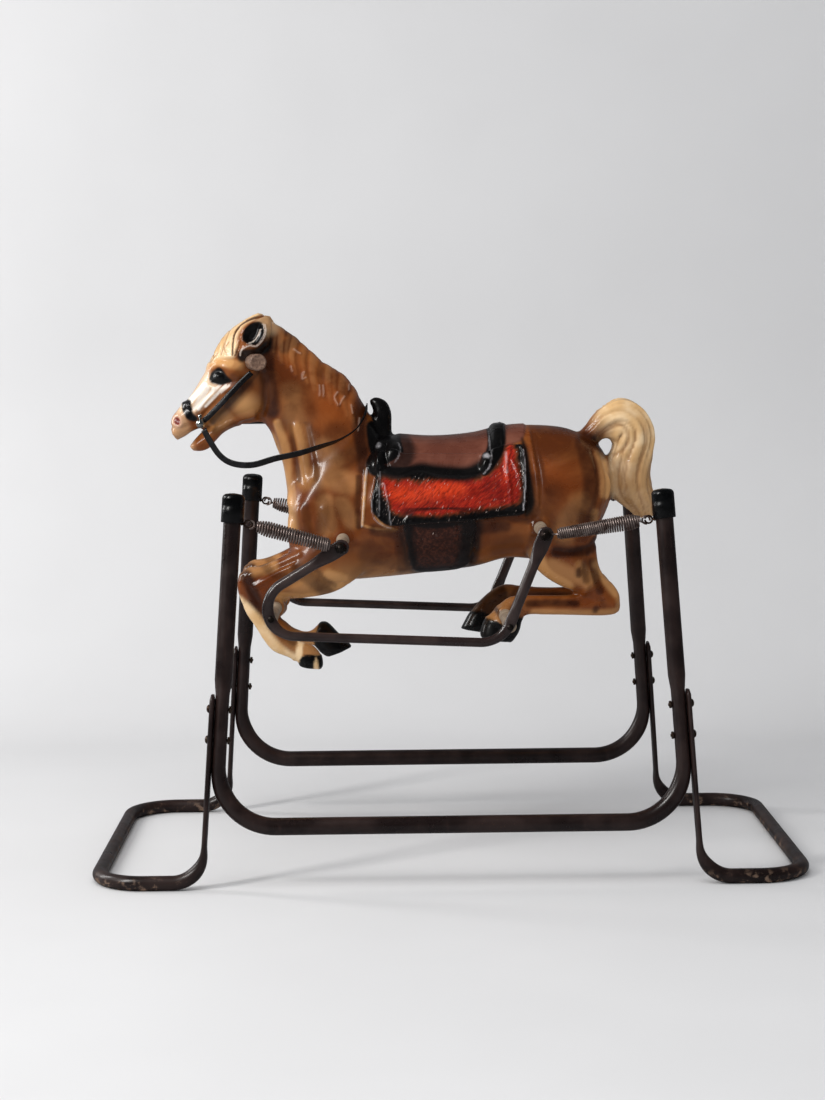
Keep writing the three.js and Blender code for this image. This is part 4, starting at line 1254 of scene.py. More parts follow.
class Skin:
    """A mesh as arrays in millimetres, which can be smoothed, raised and painted."""

    def __init__(self, mesh):
        self.mesh = mesh
        count = len(mesh.vertices)
        self.points = np.empty(count * 3, np.float32)
        mesh.vertices.foreach_get("co", self.points)
        self.points = self.points.reshape(-1, 3).astype(float) / MM
        edges = np.empty(len(mesh.edges) * 2, np.int32)
        mesh.edges.foreach_get("vertices", edges)
        self.edges = edges.reshape(-1, 2)
        self.degree = np.bincount(edges, minlength=count)[:, None]

    @property
    def x(self):
        return self.points[:, 0]

    @property
    def y(self):
        return self.points[:, 1]

    @property
    def z(self):
        return self.points[:, 2]

    def spread(self, values):
        """The mean of every point's neighbours."""
        a, b = self.edges.T
        count = len(self.points)
        columns = [
            np.bincount(a, column[b], count) + np.bincount(b, column[a], count)
            for column in values.reshape(count, -1).T
        ]
        return (np.stack(columns, 1) / self.degree).reshape(values.shape)

    def relax(self, times, share, keep=True):
        """Smooths the shape. It keeps its volume where keep is true."""
        share = np.broadcast_to(np.asarray(share, float).reshape(-1, 1), (len(self.points), 1))
        for _ in range(times):
            self.points += (self.spread(self.points) - self.points) * 0.55 * share
            if keep:
                self.points -= (self.spread(self.points) - self.points) * 0.57 * share

    def write(self):
        flat = (self.points * MM).astype(np.float32).ravel()
        self.mesh.vertices.foreach_set("co", flat)
        self.mesh.update()

    def normals(self):
        self.write()
        found = np.empty(len(self.points) * 3, np.float32)
        self.mesh.vertex_normals.foreach_get("vector", found)
        return found.reshape(-1, 3)

    def raise_by(self, height):
        self.points += self.normals() * np.asarray(height)[:, None]

    def to_line(self, line, reach=1e6):
        """Distance to a line of (x, z) points seen from the side, the share of its length
        at the nearest point, and which side of it a point lies on."""
        line = np.asarray(line, float)
        everywhere = np.stack([self.x, self.z], 1)
        low, high = line.min(0) - reach, line.max(0) + reach
        near = np.flatnonzero(((everywhere > low) & (everywhere < high)).all(1))
        here = everywhere[near]
        starts, spans = line[:-1], np.diff(line, axis=0)
        lengths = np.linalg.norm(spans, axis=1)
        before = np.concatenate([[0], np.cumsum(lengths)])
        best = np.full(len(here), 1e9)
        along, hand = np.zeros(len(here)), np.zeros(len(here))
        for i, (start, span) in enumerate(zip(starts, spans)):
            off = here - start
            part = np.clip(off @ span / max(lengths[i] ** 2, 1e-9), 0, 1)
            gap = off - part[:, None] * span
            distance = np.hypot(gap[:, 0], gap[:, 1])
            nearer = distance < best
            best[nearer] = distance[nearer]
            along[nearer] = (before[i] + part[nearer] * lengths[i]) / before[-1]
            hand[nearer] = (span[0] * off[nearer, 1] - span[1] * off[nearer, 0]) / lengths[i]
        found = []
        for values, far in ((best, 1e3), (along, 0), (hand, 0)):
            full = np.full(len(everywhere), float(far))
            full[near] = values
            found.append(full)
        return found

    def stroke(self, line, width, end_width=None):
        """1 on a line, falling off to 0 at its width, which can change along it."""
        line = spline(line, 6) if len(line) > 2 else line
        end_width = width if end_width is None else end_width
        distance, along, _ = self.to_line(line, max(width, end_width))
        here = mix(width, end_width, along)
        part = np.clip(1 - (distance / np.maximum(here, 0.1)) ** 2, 0, 1)
        return part * part

    def spot(self, middle, radius, flat=1.0, turn=0.0):
        """1 at a point, falling off to 0 at a radius; flat is its height over its width."""
        angle = math.radians(turn)
        dx, dz = self.x - middle[0], self.z - middle[1]
        a = dx * math.cos(angle) + dz * math.sin(angle)
        b = (dz * math.cos(angle) - dx * math.sin(angle)) / flat
        part = np.clip(1 - (a * a + b * b) / radius**2, 0, 1)
        return part * part

    def inside(self, outline, curved=True):
        """How far inside a closed outline a point lies, seen from the side; negative outside."""
        outline = spline(outline, 5, closed=True) if curved else np.asarray(outline, float)
        ring = np.vstack([outline, outline[:1]])
        distance, _, _ = self.to_line(ring, 40)
        near = np.flatnonzero(distance < 900)
        x, z = self.x[near], self.z[near]
        within = np.zeros(len(near), bool)
        for (x1, z1), (x2, z2) in zip(ring[:-1], ring[1:]):
            if z1 == z2:
                continue
            crosses = (z < z1) != (z < z2)
            within ^= crosses & (x < x1 + (z - z1) * (x2 - x1) / (z2 - z1))
        distance[near] *= np.where(within, -1, 1)
        return -distance

    def region(self, outline, soft, curved=True):
        """1 inside a closed outline and 0 outside it, over a soft edge."""
        return smoothstep(-soft, soft, self.inside(outline, curved))

    def keep_mask(self, name, values):
        values = np.clip(values, 0, 1).astype(np.float32)
        self.mesh.attributes.new(name, "FLOAT", "POINT").data.foreach_set("value", values)


def value_noise(u, v, seed):
    """Smooth random values from -1 to 1 over a plane."""
    table = np.random.default_rng(seed).uniform(-1, 1, (64, 64))
    iu, iv = np.floor(u).astype(int), np.floor(v).astype(int)
    fu, fv = u - iu, v - iv
    fu, fv = fu * fu * (3 - 2 * fu), fv * fv * (3 - 2 * fv)
    a, b = table[iu % 64, iv % 64], table[(iu + 1) % 64, iv % 64]
    c, d = table[iu % 64, (iv + 1) % 64], table[(iu + 1) % 64, (iv + 1) % 64]
    return mix(mix(a, b, fu), mix(c, d, fu), fv)


# ------------------------------------------------------------------ the horse's relief

# Lines and outlines on the horse, as (x, z) points seen from the side.
TAIL_LINE = (
    (226, 703), (252, 722), (280, 744), (307, 752), (330, 738), (336, 712), (328, 681),
    (322, 650), (326, 622), (338, 596), (348, 572),
)
TAIL_OUTLINE = (
    (243, 722), (259, 752), (292, 782), (331, 776), (364, 745), (369, 700), (360, 650),
    (368, 600), (364, 568), (330, 570), (305, 595), (290, 615), (284, 650), (287, 684),
    (290, 696), (282, 710), (262, 706),
)
SEAT = (
    (-120, 700), (-109, 661), (-94, 653), (-79, 651), (-58, 658), (-40, 660), (-12, 653),
    (20, 651), (45, 652), (64, 655), (80, 663), (96, 684), (104, 710), (104, 752), (60, 762),
    (-40, 752), (-100, 762),
)
SEAT_EDGE = (
    (-104, 666), (-84, 658), (-60, 662), (-40, 662), (-10, 658), (38, 657), (58, 661),
    (70, 672),
)
CANTLE_BAND = (
    (74, 762), (103, 762), (105, 730), (104, 709), (99, 690), (89, 674), (78, 661), (66, 653),
    (56, 664), (61, 680), (70, 694), (74, 712),
)
CANTLE_LINE = ((90, 756), (91, 734), (90, 712), (85, 696), (76, 680), (66, 668))
JOCKEY = ((98, 700), (118, 707), (134, 716), (139, 744), (110, 755), (96, 745), (95, 720))
BLANKET = (
    (-120, 645), (-127, 608), (-118, 588), (-95, 573), (-60, 575), (-20, 578), (40, 580),
    (90, 586), (130, 590), (137, 602), (137, 660), (134, 702), (118, 706), (98, 702), (60, 690),
    (-60, 690), (-112, 690),
)
FLEECE = (
    (-110, 648), (-103, 653), (-84, 648), (-65, 652), (-52, 645), (-27, 648), (15, 651),
    (57, 650), (74, 658), (91, 670), (99, 687), (107, 703), (118, 700), (124, 670), (127, 620),
    (111, 607), (56, 599), (6, 592), (-28, 590), (-87, 595), (-97, 614), (-107, 629),
)
POMMEL = (
    (-128, 735), (-90, 735), (-85, 722), (-77, 710), (-74, 696), (-78, 684), (-88, 676),
    (-103, 671), (-109, 660), (-120, 656), (-131, 664), (-134, 678), (-128, 692), (-121, 700),
    (-127, 716),
)
GIRTH = (
    (-65, 592), (-65, 530), (-60, 504), (-48, 489), (-11, 488), (22, 492), (38, 502), (46, 524),
    (44, 592),
)
MANE_EDGE = (
    (-306, 884), (-288, 858), (-268, 836), (-246, 818), (-220, 800), (-196, 784), (-176, 766),
    (-158, 746), (-146, 728),
)
MANE = ((-306, 935), (-270, 915), (-230, 890), (-190, 850), (-150, 810), (-130, 780))
MANE += MANE_EDGE[::-1]
MANE_CREST = ((-296, 922), (-270, 904), (-238, 880), (-209, 852), (-173, 826), (-150, 792))
# Curls on the mane's locks: raised in the moulding, and each given a painted highlight.
MANE_CURLS = (
    ((-213, 809), (-212, 800), (-212, 792)), ((-207, 809), (-206, 800), (-206, 791)),
    ((-183, 797), (-188, 788), (-182, 776)), ((-172, 789), (-176, 783), (-179, 776)),
    ((-165, 808), (-165, 800)), ((-161, 774), (-158, 760)), ((-146, 752), (-148, 732)),
    ((-239, 832), (-242, 821), (-236, 823)), ((-261, 842), (-259, 834)),
    ((-257, 870), (-246, 863)),
)
FORELOCK_STRANDS = (
    ((-307, 929), (-330, 921), (-346, 911), (-356, 897), (-358, 879), (-359, 863)),
    ((-343, 896), (-346, 882), (-355, 862)),
    ((-330, 934), (-358, 914), (-370, 888), (-378, 864)),
    ((-350, 927), (-384, 900), (-394, 878), (-392, 858)),
    ((-366, 884), (-372, 873), (-368, 862)),
    ((-406, 862), (-399, 850), (-391, 858), (-385, 866)),
)
BOLD_STRANDS, FAINT_STRANDS = FORELOCK_STRANDS[:2], FORELOCK_STRANDS[2:]
FORELOCK = (
    (-312, 940), (-350, 932), (-390, 905), (-418, 862), (-412, 840), (-400, 846), (-384, 856),
    (-364, 857), (-354, 862), (-350, 878), (-350, 894), (-338, 912), (-318, 924),
)
EAR_BOWL = (
    (-342, 889), (-340, 901), (-333, 911), (-323, 917), (-313, 918), (-307, 913), (-306, 900),
    (-312, 886), (-320, 879), (-332, 881),
)
EAR_RIM = (
    (-305, 912), (-305, 899), (-310, 886), (-319, 878), (-329, 879), (-337, 876), (-344, 871),
    (-346, 863),
)
EAR_STREAK = ((-311, 906), (-315, 896), (-322, 887), (-330, 883))
EYE = (-384, 827)
NOSTRIL = (-458, 751)
LEFT_FRONT_HOOF = ((-248, 349), (-219, 350), (-204, 346), (-202, 315), (-253, 315))
RIGHT_FRONT_HOOF = (
    (-231, 350), (-226, 377), (-213, 402), (-184, 376), (-152, 346), (-200, 316), (-224, 324),
)
LEFT_HIND_HOOF = (
    (45, 372), (58, 400), (68, 409), (86, 406), (100, 401), (112, 408), (127, 412), (136, 400),
    (128, 356), (44, 352),
)
RIGHT_HIND_HOOF = ((20, 372), (34, 398), (56, 408), (74, 404), (92, 392), (96, 356), (20, 352))
HOOVES = (
    (LEFT_FRONT_HOOF, LEFT),
    (RIGHT_FRONT_HOOF, RIGHT),
    (LEFT_HIND_HOOF, LEFT),
    (RIGHT_HIND_HOOF, RIGHT),
)


def mane_locks():
    """Locks that hang from the crest and sweep back, as lines."""
    crest = spline(MANE_CREST, 4)
    edge = spline(MANE_EDGE, 3)
    chance = np.random.default_rng(4)
    locks = []
    for i in range(13):
        part = (i + 0.5) / 13
        top = crest[int(part * (len(crest) - 1))] + chance.uniform(-3, 3, 2)
        tip = edge[int(part * (len(edge) - 1))] + chance.uniform(-5, 5, 2)
        bend = np.array([chance.uniform(-9, -2), chance.uniform(-3, 5)])
        locks.append([tuple(top), tuple((top + tip) / 2 + bend), tuple(tip)])
    return locks


# Ridges of the face as (height, line, width), and grooves where the height is negative. A
# second width is the one at the line's end.
FACE_FOLDS = (
    (3.0, ((-400, 838), (-386, 846), (-368, 842), (-352, 828)), 12),
    (3.4, ((-404, 812), (-388, 806), (-368, 806), (-350, 812)), 9),
    (-2.2, ((-396, 816), (-384, 814), (-368, 816)), 5),
    (2.6, ((-408, 806), (-424, 789), (-436, 776)), 7, 5),
    (2.4, ((-392, 798), (-410, 782), (-426, 766)), 6, 4),
    (-2.4, ((-398, 803), (-416, 786), (-430, 771)), 4.5),
    (-2.5, ((-384, 788), (-402, 772), (-416, 758)), 8, 5),
    (2.2, ((-450, 781), (-436, 777), (-424, 762), (-418, 748)), 6),
    (2.0, ((-464, 730), (-452, 727), (-438, 736), (-424, 742)), 6),
    (-1.8, ((-470, 741), (-456, 738), (-440, 744)), 5),
    (1.6, ((-434, 706), (-420, 712), (-408, 722)), 7),
    (-4.0, ((-346, 744), (-322, 752), (-306, 776), (-303, 806), (-309, 832)), 9),
    (-2.0, ((-372, 768), (-392, 756), (-408, 744)), 7),
)
# The same for muscles, folds and joints.
BODY_FOLDS = (
    (3.2, ((-160, 700), (-205, 655), (-242, 604), (-258, 560)), 24),
    (-2.6, ((-132, 640), (-150, 600), (-158, 560)), 16),
    (2.8, ((-286, 746), (-275, 695), (-269, 650), (-268, 610)), 9),
    (-2.4, ((-270, 745), (-260, 695), (-254, 650)), 8),
    (2.6, ((-254, 740), (-244, 695), (-238, 650)), 10),
    (-2.2, ((-238, 742), (-229, 700), (-222, 655)), 9),
    (-2.4, ((-262, 590), (-250, 560), (-226, 540)), 10),
    (3.5, ((-244, 600), (-236, 570), (-226, 545)), 12),
    (3.0, ((-205, 600), (-196, 575), (-200, 552)), 12),
    (-3.4, ((-226, 500), (-210, 484), (-192, 472), (-172, 474)), 7),
    (3.0, ((-200, 496), (-180, 486)), 14), (2.8, ((-250, 526), (-291, 508), (-337, 490)), 8),
    (-2.2, ((-258, 514), (-298, 496), (-332, 478)), 5),
    (2.4, ((-262, 504), (-300, 486), (-326, 468)), 6), (-2.0, ((-250, 478), (-292, 464)), 6),
    (-2.6, ((-340, 476), (-330, 458), (-322, 444)), 6),
    (2.6, ((-350, 488), (-352, 466), (-346, 446)), 7), (2.2, ((-312, 462), (-302, 448)), 8),
    (-1.8, ((-322, 424), (-300, 396), (-278, 376)), 5), (2.0, ((-286, 384), (-270, 366)), 9),
    (2.0, ((-268, 362), (-262, 340)), 4),
    (-3.0, ((256, 538), (238, 528), (212, 524), (186, 528)), 7),
    (3.0, ((250, 560), (222, 548), (196, 546)), 12),
    (-3.2, ((246, 516), (250, 492), (258, 470)), 8),
    (2.6, ((214, 512), (226, 484), (240, 462)), 10), (-2.4, ((236, 500), (238, 480)), 6),
    (3.4, ((240, 466), (236, 452), (228, 444)), 7),
    (3.0, ((286, 470), (292, 448), (286, 430)), 9),
    (-1.6, ((226, 436), (180, 434), (138, 436)), 5),
    (1.6, ((222, 444), (180, 443), (140, 444)), 5),
    (1.4, ((224, 421), (180, 420), (140, 421)), 5),
    (2.4, ((120, 430), (106, 414), (96, 404)), 9),
    (-2.2, ((128, 420), (116, 404), (104, 392)), 6),
    (2.2, ((66, 412), (84, 402), (108, 392)), 4),
    (-3.0, ((253, 690), (259, 655), (258, 625), (248, 590)), 5),
    (2.2, ((262, 690), (268, 655), (267, 625), (256, 588)), 6),
    (-2.8, ((286, 684), (288, 652), (289, 612)), 5),
    (-2.2, ((150, 590), (160, 565), (150, 540)), 12),
    (1.5, ((143, 742), (146, 709), (151, 676), (155, 643), (156, 604)), 3),
    (-1.4, ((149, 742), (152, 709), (157, 676), (161, 643), (161, 604)), 3.5),
    (1.8, ((46, 580), (90, 588), (134, 584)), 6),
    (3.4, ((-134, 668), (-138, 624), (-142, 574)), 4.0),
    (1.6, ((-142, 574), (-118, 568), (-84, 566)), 3.5),
)


def carved(skin, folds):
    """The height of all ridges and grooves together."""
    high = np.zeros(len(skin.points))
    for height, line, *widths in folds:
        high += height * skin.stroke(line, *widths)
    return high


def relief_of_head(skin):
    """Brow, cheek, muzzle and mouth."""
    head = smoothstep(HEAD_FINE[0], HEAD_FINE[0] - 25, skin.x) * smoothstep(690, 710, skin.z)
    high = carved(skin, FACE_FOLDS)
    high += 5.0 * skin.spot((-343, 786), 46, 0.9)
    high += 4.5 * skin.spot(EYE, 11, 0.8)
    high += 3.6 * skin.spot(NOSTRIL, 15, 1.2, 15)
    high -= 6.5 * skin.spot(NOSTRIL, 8.5, 1.35, 15)
    return high * head


def relief_of_forelock(skin):
    """Strands of the forelock. The second result is how deep the grooves are, which are
    browned as painted shade.
    """
    lock = skin.region(FORELOCK, 3)
    groove = sum(skin.stroke(line, 3.2, 2.2) for line in BOLD_STRANDS)
    groove += 0.6 * sum(skin.stroke(line, 3.0, 2.0) for line in FAINT_STRANDS)
    _, _, hand = skin.to_line(spline(FORELOCK_STRANDS[0], 6), 90)
    between = lock * (0.5 + 0.5 * np.sin(hand / 1.5 + 2 * value_noise(hand / 9, skin.z / 16, 5)))
    high = 3.0 * lock - (2.0 * groove + 0.5 * between)
    groove *= (skin.x < -290) & (skin.z > 840)
    return high, np.clip(1.3 * groove + 0.25 * between, 0, 1)


def relief_of_ears(skin):
    """A bowl in each ear, with a rim round it and a fold in it."""
    bowl = skin.inside(EAR_BOWL)
    high = 1.6 * skin.stroke(EAR_RIM, 5) + 2.6 * np.exp(-((bowl / 3.0) ** 2))
    high += 3.4 * skin.stroke(EAR_STREAK, 4.0) - 8.0 * smoothstep(0, 10, bowl)
    return high * smoothstep(26, 34, np.abs(skin.y))


def relief_of_mane(skin):
    """Locks of the mane and the curls on them. The second result is how deep the grooves
    between the locks are, which is negative on top of a lock."""
    high = 1.6 * skin.region(MANE, 9)
    lock_high = np.zeros(len(skin.points))
    for i, line in enumerate(mane_locks()):
        here = np.sqrt(skin.stroke(line, 10.5, 5.0))
        lock_high = np.maximum(lock_high, here * (1.0 - 0.3 * (i % 2)))
    near = smoothstep(-9, 8, skin.inside(MANE))
    high += near * 1.8 * lock_high
    for line in MANE_CURLS:
        high += 1.5 * skin.stroke(line, 4.0)
    return high, near * (0.75 - 1.4 * smoothstep(0.1, 0.95, lock_high))


def relief_of_tail(skin):
    """Strands that follow the tail over its arch and down to the tip. The second result is
    where the cream is browned as painted shade: in the grooves, inside the arch, and
    towards the bottom of the tail."""
    within = skin.region(TAIL_OUTLINE, 5)
    _, along, hand = skin.to_line(spline(TAIL_LINE, 6))
    round_it = np.arctan2(skin.y, hand)
    flow = value_noise(along * 5 + 3, round_it * 1.4 + 9, 7)
    coarse = np.sin(round_it * 7 + 1.6 * np.sin(along * 9) + 2.2 * flow)
    fine = np.sin(round_it * 17 + 2.5 * np.sin(along * 7 + 1) + 3 * flow)
    thread = np.sin(round_it * 31 + 3.5 * np.sin(along * 6 + 2) + 4 * flow)
    high = within * (1.7 * coarse + 1.0 * fine + 0.5 * thread)
    grooves = within * smoothstep(0.0, 1.0, -coarse * 0.5 - fine * 0.4 - thread * 0.3)
    grooves *= 1 - 0.7 * smoothstep(722, 756, skin.z)
    # A groove inside the tail's arch, browned as painted shade.
    inner = ((268, 714), (283, 729), (300, 737), (314, 728), (316, 708), (304, 690), (290, 684))
    inner = within * skin.stroke(inner, 5)
    outer = ((262, 722), (280, 745), (302, 754), (324, 742), (330, 716), (322, 690), (306, 668))
    high -= 2.4 * inner + 1.8 * within * skin.stroke(outer, 4)
    # Darker towards the bottom of the tail: painted shade.
    low = 0.68 * within * smoothstep(716, 640, skin.z)
    return high, np.clip(grooves + 0.8 * inner + low, 0, 1)


def relief_of_body(skin):
    """Muscles, folds and joints."""
    high = carved(skin, BODY_FOLDS)
    high -= 2.6 * skin.spot((262, 439), 8) + 2.2 * skin.spot((232, 437), 6)
    high += 5.0 * skin.spot((205, 640), 70)
    high += 4.0 * skin.spot((-195, 620), 60)
    outer = smoothstep(30, 50, np.abs(skin.y)) + smoothstep(-240, -270, skin.x)
    return high * np.clip(outer, 0, 1)


def relief_of_seat(skin, side):
    """Seat, rolled border, cantle, pommel scrolls and the flap behind the seat."""
    by_horn = smoothstep(710, 722, skin.z) * smoothstep(-76, -90, skin.x)
    high = 4.0 * smoothstep(-1.5, 4, skin.inside(SEAT)) * (1 - by_horn)
    high += 1.2 * skin.stroke(SEAT_EDGE, 9)
    high += 4.2 * skin.stroke(CANTLE_LINE, 14, 12) * smoothstep(746, 726, skin.z)
    high += 5.0 * smoothstep(734, 690, skin.z) * smoothstep(-3, 10, skin.inside(POMMEL))
    high += 2.6 * smoothstep(-1.5, 3, skin.inside(JOCKEY))
    scrolls = 6.0 * skin.spot((71, 676), 15, 1.3, -12) + 6.0 * skin.spot((-117, 675), 17)
    scrolls += 4.0 * skin.spot((-86, 690), 18, 1.2)
    scrolls -= 4.0 * skin.stroke(((-100, 702), (-101, 686), (-98, 670)), 5)
    return high + side * scrolls


def relief_of_blanket(skin, side):
    """Blanket with its rolled edges and its fur. The second result is the fur alone."""
    blanket = skin.inside(BLANKET)
    high = side * 3.4 * smoothstep(-1, 3, blanket)
    high += 1.6 * side * np.exp(-(((blanket - 4) / 3.0) ** 2))
    high += side * carved(
        skin,
        (
            (3.0, ((-111, 662), (-114, 622), (-113, 582)), 3.6),
            (3.0, ((-104, 645), (-98, 611), (-94, 576)), 3.6),
            (3.6, ((110, 694), (103, 669), (108, 640), (110, 606)), 4.2),
            (3.0, ((114, 680), (123, 656), (127, 632)), 4.0),
            (2.8, ((131, 700), (134, 664), (133, 600)), 3.2),
        ),
    )
    # The fur lies in slanting locks that wave along the blanket.
    slant = skin.x * 0.80 - skin.z * 0.60 + 9 * np.sin(skin.x / 26 + np.sin(skin.z / 14))
    length = skin.x * 0.60 + skin.z * 0.80
    fur = value_noise(slant / 2.8, length / 15 + 0.6 * np.sin(slant / 30), 11)
    fur += 0.6 * value_noise(slant / 1.9 + 40, length / 8, 12)
    fur *= side * smoothstep(-1, 6, blanket) * (1 - smoothstep(-2, 2, skin.inside(SEAT)))
    return high + 0.7 * fur, fur


def relief_of_girth(skin):
    """The girth and its two seams."""
    below = smoothstep(30, 60, np.abs(skin.y)) + smoothstep(520, 500, skin.z)
    below = np.clip(below, 0, 1) * smoothstep(604, 590, skin.z)
    high = 3.4 * smoothstep(-1.5, 4, skin.inside(GIRTH))
    high -= 1.6 * skin.stroke(((-52, 574), (-52, 515), (-44, 500)), 3.2)
    high -= 1.6 * skin.stroke(((20, 574), (20, 515), (10, 500)), 3.2)
    return below * high


def relief_of_saddle(skin):
    """Seat, blanket and girth. The second result is the blanket's fur alone."""
    side = smoothstep(20, 40, np.abs(skin.y))
    blanket, fur = relief_of_blanket(skin, side)
    return relief_of_seat(skin, side) + blanket + relief_of_girth(skin), fur


def relief_of_hooves(skin):
    """A step where each hoof starts."""
    high = np.zeros(len(skin.points))
    for outline, side in HOOVES:
        there = smoothstep(10, 20, skin.y * side)
        high += there * 1.6 * smoothstep(-1, 3, skin.inside(outline))
    return high


# ------------------------------------------------------------------ the horse's paint

# Brush strokes of each paint as (line, width, amount). GLINTS and SHEENS are painted
# highlights; LIGHTS are tan spray and painted highlights; DARKS thick spray and painted shade.
GLINTS = (
    (((-408, 812), (-424, 796), (-440, 782)), 9, 0.95),
    (((-402, 808), (-416, 790), (-428, 772)), 5, 0.8),
    (((-392, 806), (-408, 788), (-420, 772)), 4.5, 0.95),
    (((-372, 812), (-390, 794), (-408, 776)), 3.6, 0.85), (((-366, 812), (-380, 800)), 3, 0.7),
    (((-444, 786), (-452, 776)), 4, 0.6), (((-382, 812), (-400, 796), (-412, 790)), 4, 0.7),
)
SHEENS = (
    (((-110, 660), (-112, 625), (-113, 590)), 1.5, 0.4),
    (((-104, 643), (-98, 614), (-93, 574)), 1.5, 0.4),
    (((-122, 633), (-126, 614), (-122, 587), (-106, 573), (-93, 569)), 1.5, 0.4),
    (((133, 695), (135, 670), (134, 632), (131, 599)), 1.6, 0.75),
    (((81, 692), (79, 677), (75, 666), (65, 657)), 1.7, 0.7),
    (((77, 734), (77, 694)), 1.6, 0.3), (((-142, 572), (-138, 624), (-133, 669)), 2.0, 0.6),
    (((-79, 706), (-76, 695), (-79, 683), (-85, 675)), 1.8, 0.28),
    (((103, 692), (104, 660)), 3.5, 0.4),
)
LIGHTS = (
    (((-252, 740), (-242, 700), (-238, 650)), 14, 0.55),
    (((-286, 746), (-272, 700), (-268, 640)), 12, 0.6), (((-202, 612), (-200, 570)), 26, 0.3),
    (((-236, 652), (-200, 656), (-166, 645)), 34, 0.38),
    (((-262, 800), (-256, 755), (-240, 720)), 30, 0.22), (((-208, 704), (-190, 680)), 30, 0.3),
    (((-176, 612), (-160, 580)), 22, 0.3), (((-296, 506), (-345, 494)), 18, 0.6),
    (((-290, 452), (-230, 452), (-180, 470)), 16, 0.8), (((-200, 490), (-175, 482)), 18, 0.75),
    (((152, 520), (172, 488), (206, 466)), 20, 0.8),
    (((296, 450), (292, 420), (240, 415), (150, 417)), 14, 0.55),
    (((226, 500), (250, 480), (270, 500)), 16, 0.45),
    (((262, 690), (268, 655), (267, 620)), 10, 0.6),
    (((70, 410), (90, 405), (112, 398)), 12, 0.55),
    (((-134, 668), (-138, 624), (-142, 574)), 4, 1.0),
    (((-142, 574), (-118, 568), (-84, 566)), 4, 0.5),
    (((-118, 590), (-106, 574), (-90, 568)), 4, 0.7),
    (((272, 690), (276, 655), (276, 618)), 10, 0.9), (((200, 560), (226, 606)), 34, 0.3),
    (((180, 500), (210, 486), (240, 476)), 24, 0.5),
    (((256, 500), (276, 470), (292, 450)), 14, 0.7), (((252, 590), (250, 560)), 12, 0.6),
    (((-262, 640), (-256, 600)), 10, 0.5), (((-408, 842), (-388, 853), (-364, 850)), 15, 0.95),
    (((-364, 848), (-348, 846)), 14, 0.6),
)
DARKS = (
    (((-286, 924), (-268, 904), (-258, 888), (-272, 874)), 17, 1.0),
    (((-296, 888), (-302, 850), (-298, 804), (-296, 770)), 26, 0.95),
    (((-300, 850), (-270, 816), (-246, 790), (-236, 764)), 34, 0.45),
    (((-204, 830), (-190, 822), (-170, 800)), 18, 0.5),
    (((-334, 812), (-366, 780), (-396, 750)), 16, 0.7),
    (((-406, 738), (-386, 734), (-362, 746)), 11, 0.45),
    (((-358, 822), (-344, 834), (-328, 850)), 17, 0.7), (((-400, 800), (-410, 790)), 10, 0.3),
    (((-264, 740), (-258, 700), (-250, 650)), 9, 0.6),
    (((-232, 745), (-224, 700), (-216, 650)), 12, 0.6),
    (((-140, 775), (-146, 740), (-142, 700), (-138, 670)), 20, 0.9),
    (((-146, 655), (-149, 610), (-148, 572)), 9, 0.8),
    (((-237, 606), (-235, 581), (-232, 558)), 12, 0.5),
    (((-250, 500), (-225, 480), (-205, 462)), 22, 0.75),
    (((-20, 566), (40, 566), (100, 570)), 18, 0.8), (((-134, 522), (-90, 510)), 26, 0.5),
    (((8, 494), (60, 500)), 12, 0.6), (((160, 620), (190, 570), (230, 560)), 34, 0.45),
    (((-262, 596), (-250, 566), (-222, 548)), 20, 0.4),
    (((-216, 640), (-206, 600), (-214, 560)), 18, 0.4),
    (((-120, 530), (-134, 500), (-150, 486)), 24, 0.35), (((-186, 724), (-172, 690)), 40, 0.5),
    (((-228, 690), (-222, 720)), 30, 0.35), (((172, 706), (196, 690), (220, 700)), 34, 0.5),
    (((176, 560), (196, 544)), 30, 0.45), (((-260, 770), (-270, 745)), 22, 0.5),
    (((-312, 506), (-290, 490), (-268, 486)), 12, 0.5),
    (((-212, 690), (-180, 640), (-176, 600)), 26, 0.35),
    (((-236, 560), (-216, 530), (-230, 505)), 20, 0.6),
    (((-222, 500), (-208, 482), (-190, 470)), 8, 0.6),
    (((-340, 488), (-332, 466), (-322, 440)), 18, 0.95),
    (((-330, 440), (-306, 420), (-290, 440)), 18, 0.8),
    (((-300, 402), (-280, 386), (-262, 372)), 10, 0.6),
    (((-120, 566), (-84, 556), (-76, 520), (-74, 496)), 18, 0.8),
    (((44, 580), (50, 540), (46, 500)), 14, 0.85),
    (((46, 582), (100, 586), (150, 580)), 16, 0.7),
    (((152, 742), (156, 700), (163, 650), (166, 596)), 12, 0.55),
    (((236, 706), (246, 660), (246, 620), (236, 580)), 30, 0.8),
    (((286, 688), (288, 652), (289, 612)), 7, 1.0),
    (((240, 716), (262, 704), (272, 690)), 22, 0.95),
    (((256, 540), (238, 527), (186, 525)), 17, 1.0),
    (((250, 505), (256, 478), (262, 456)), 12, 0.75), (((236, 505), (238, 476)), 12, 0.6),
    (((222, 434), (180, 435), (140, 434)), 10, 0.9), (((225, 492), (225, 486)), 10, 0.8),
    (((265, 438), (268, 430)), 8, 0.4), (((256, 426), (254, 422)), 9, 0.8),
    (((126, 440), (112, 424), (104, 404)), 12, 0.6),
    (((86, 424), (95, 411), (99, 402)), 7, 0.8),
    (((148, 606), (156, 560), (146, 520)), 22, 0.8), (((-100, 548), (-110, 520)), 24, 0.4),
    (((196, 720), (230, 712)), 22, 0.5), (((92, 524), (120, 540)), 26, 0.45),
    (((-128, 536), (-122, 516)), 26, 0.5), (((204, 660), (198, 636)), 40, 0.35),
    (((218, 596), (206, 566)), 36, 0.5), (((158, 640), (170, 600)), 34, 0.6),
)


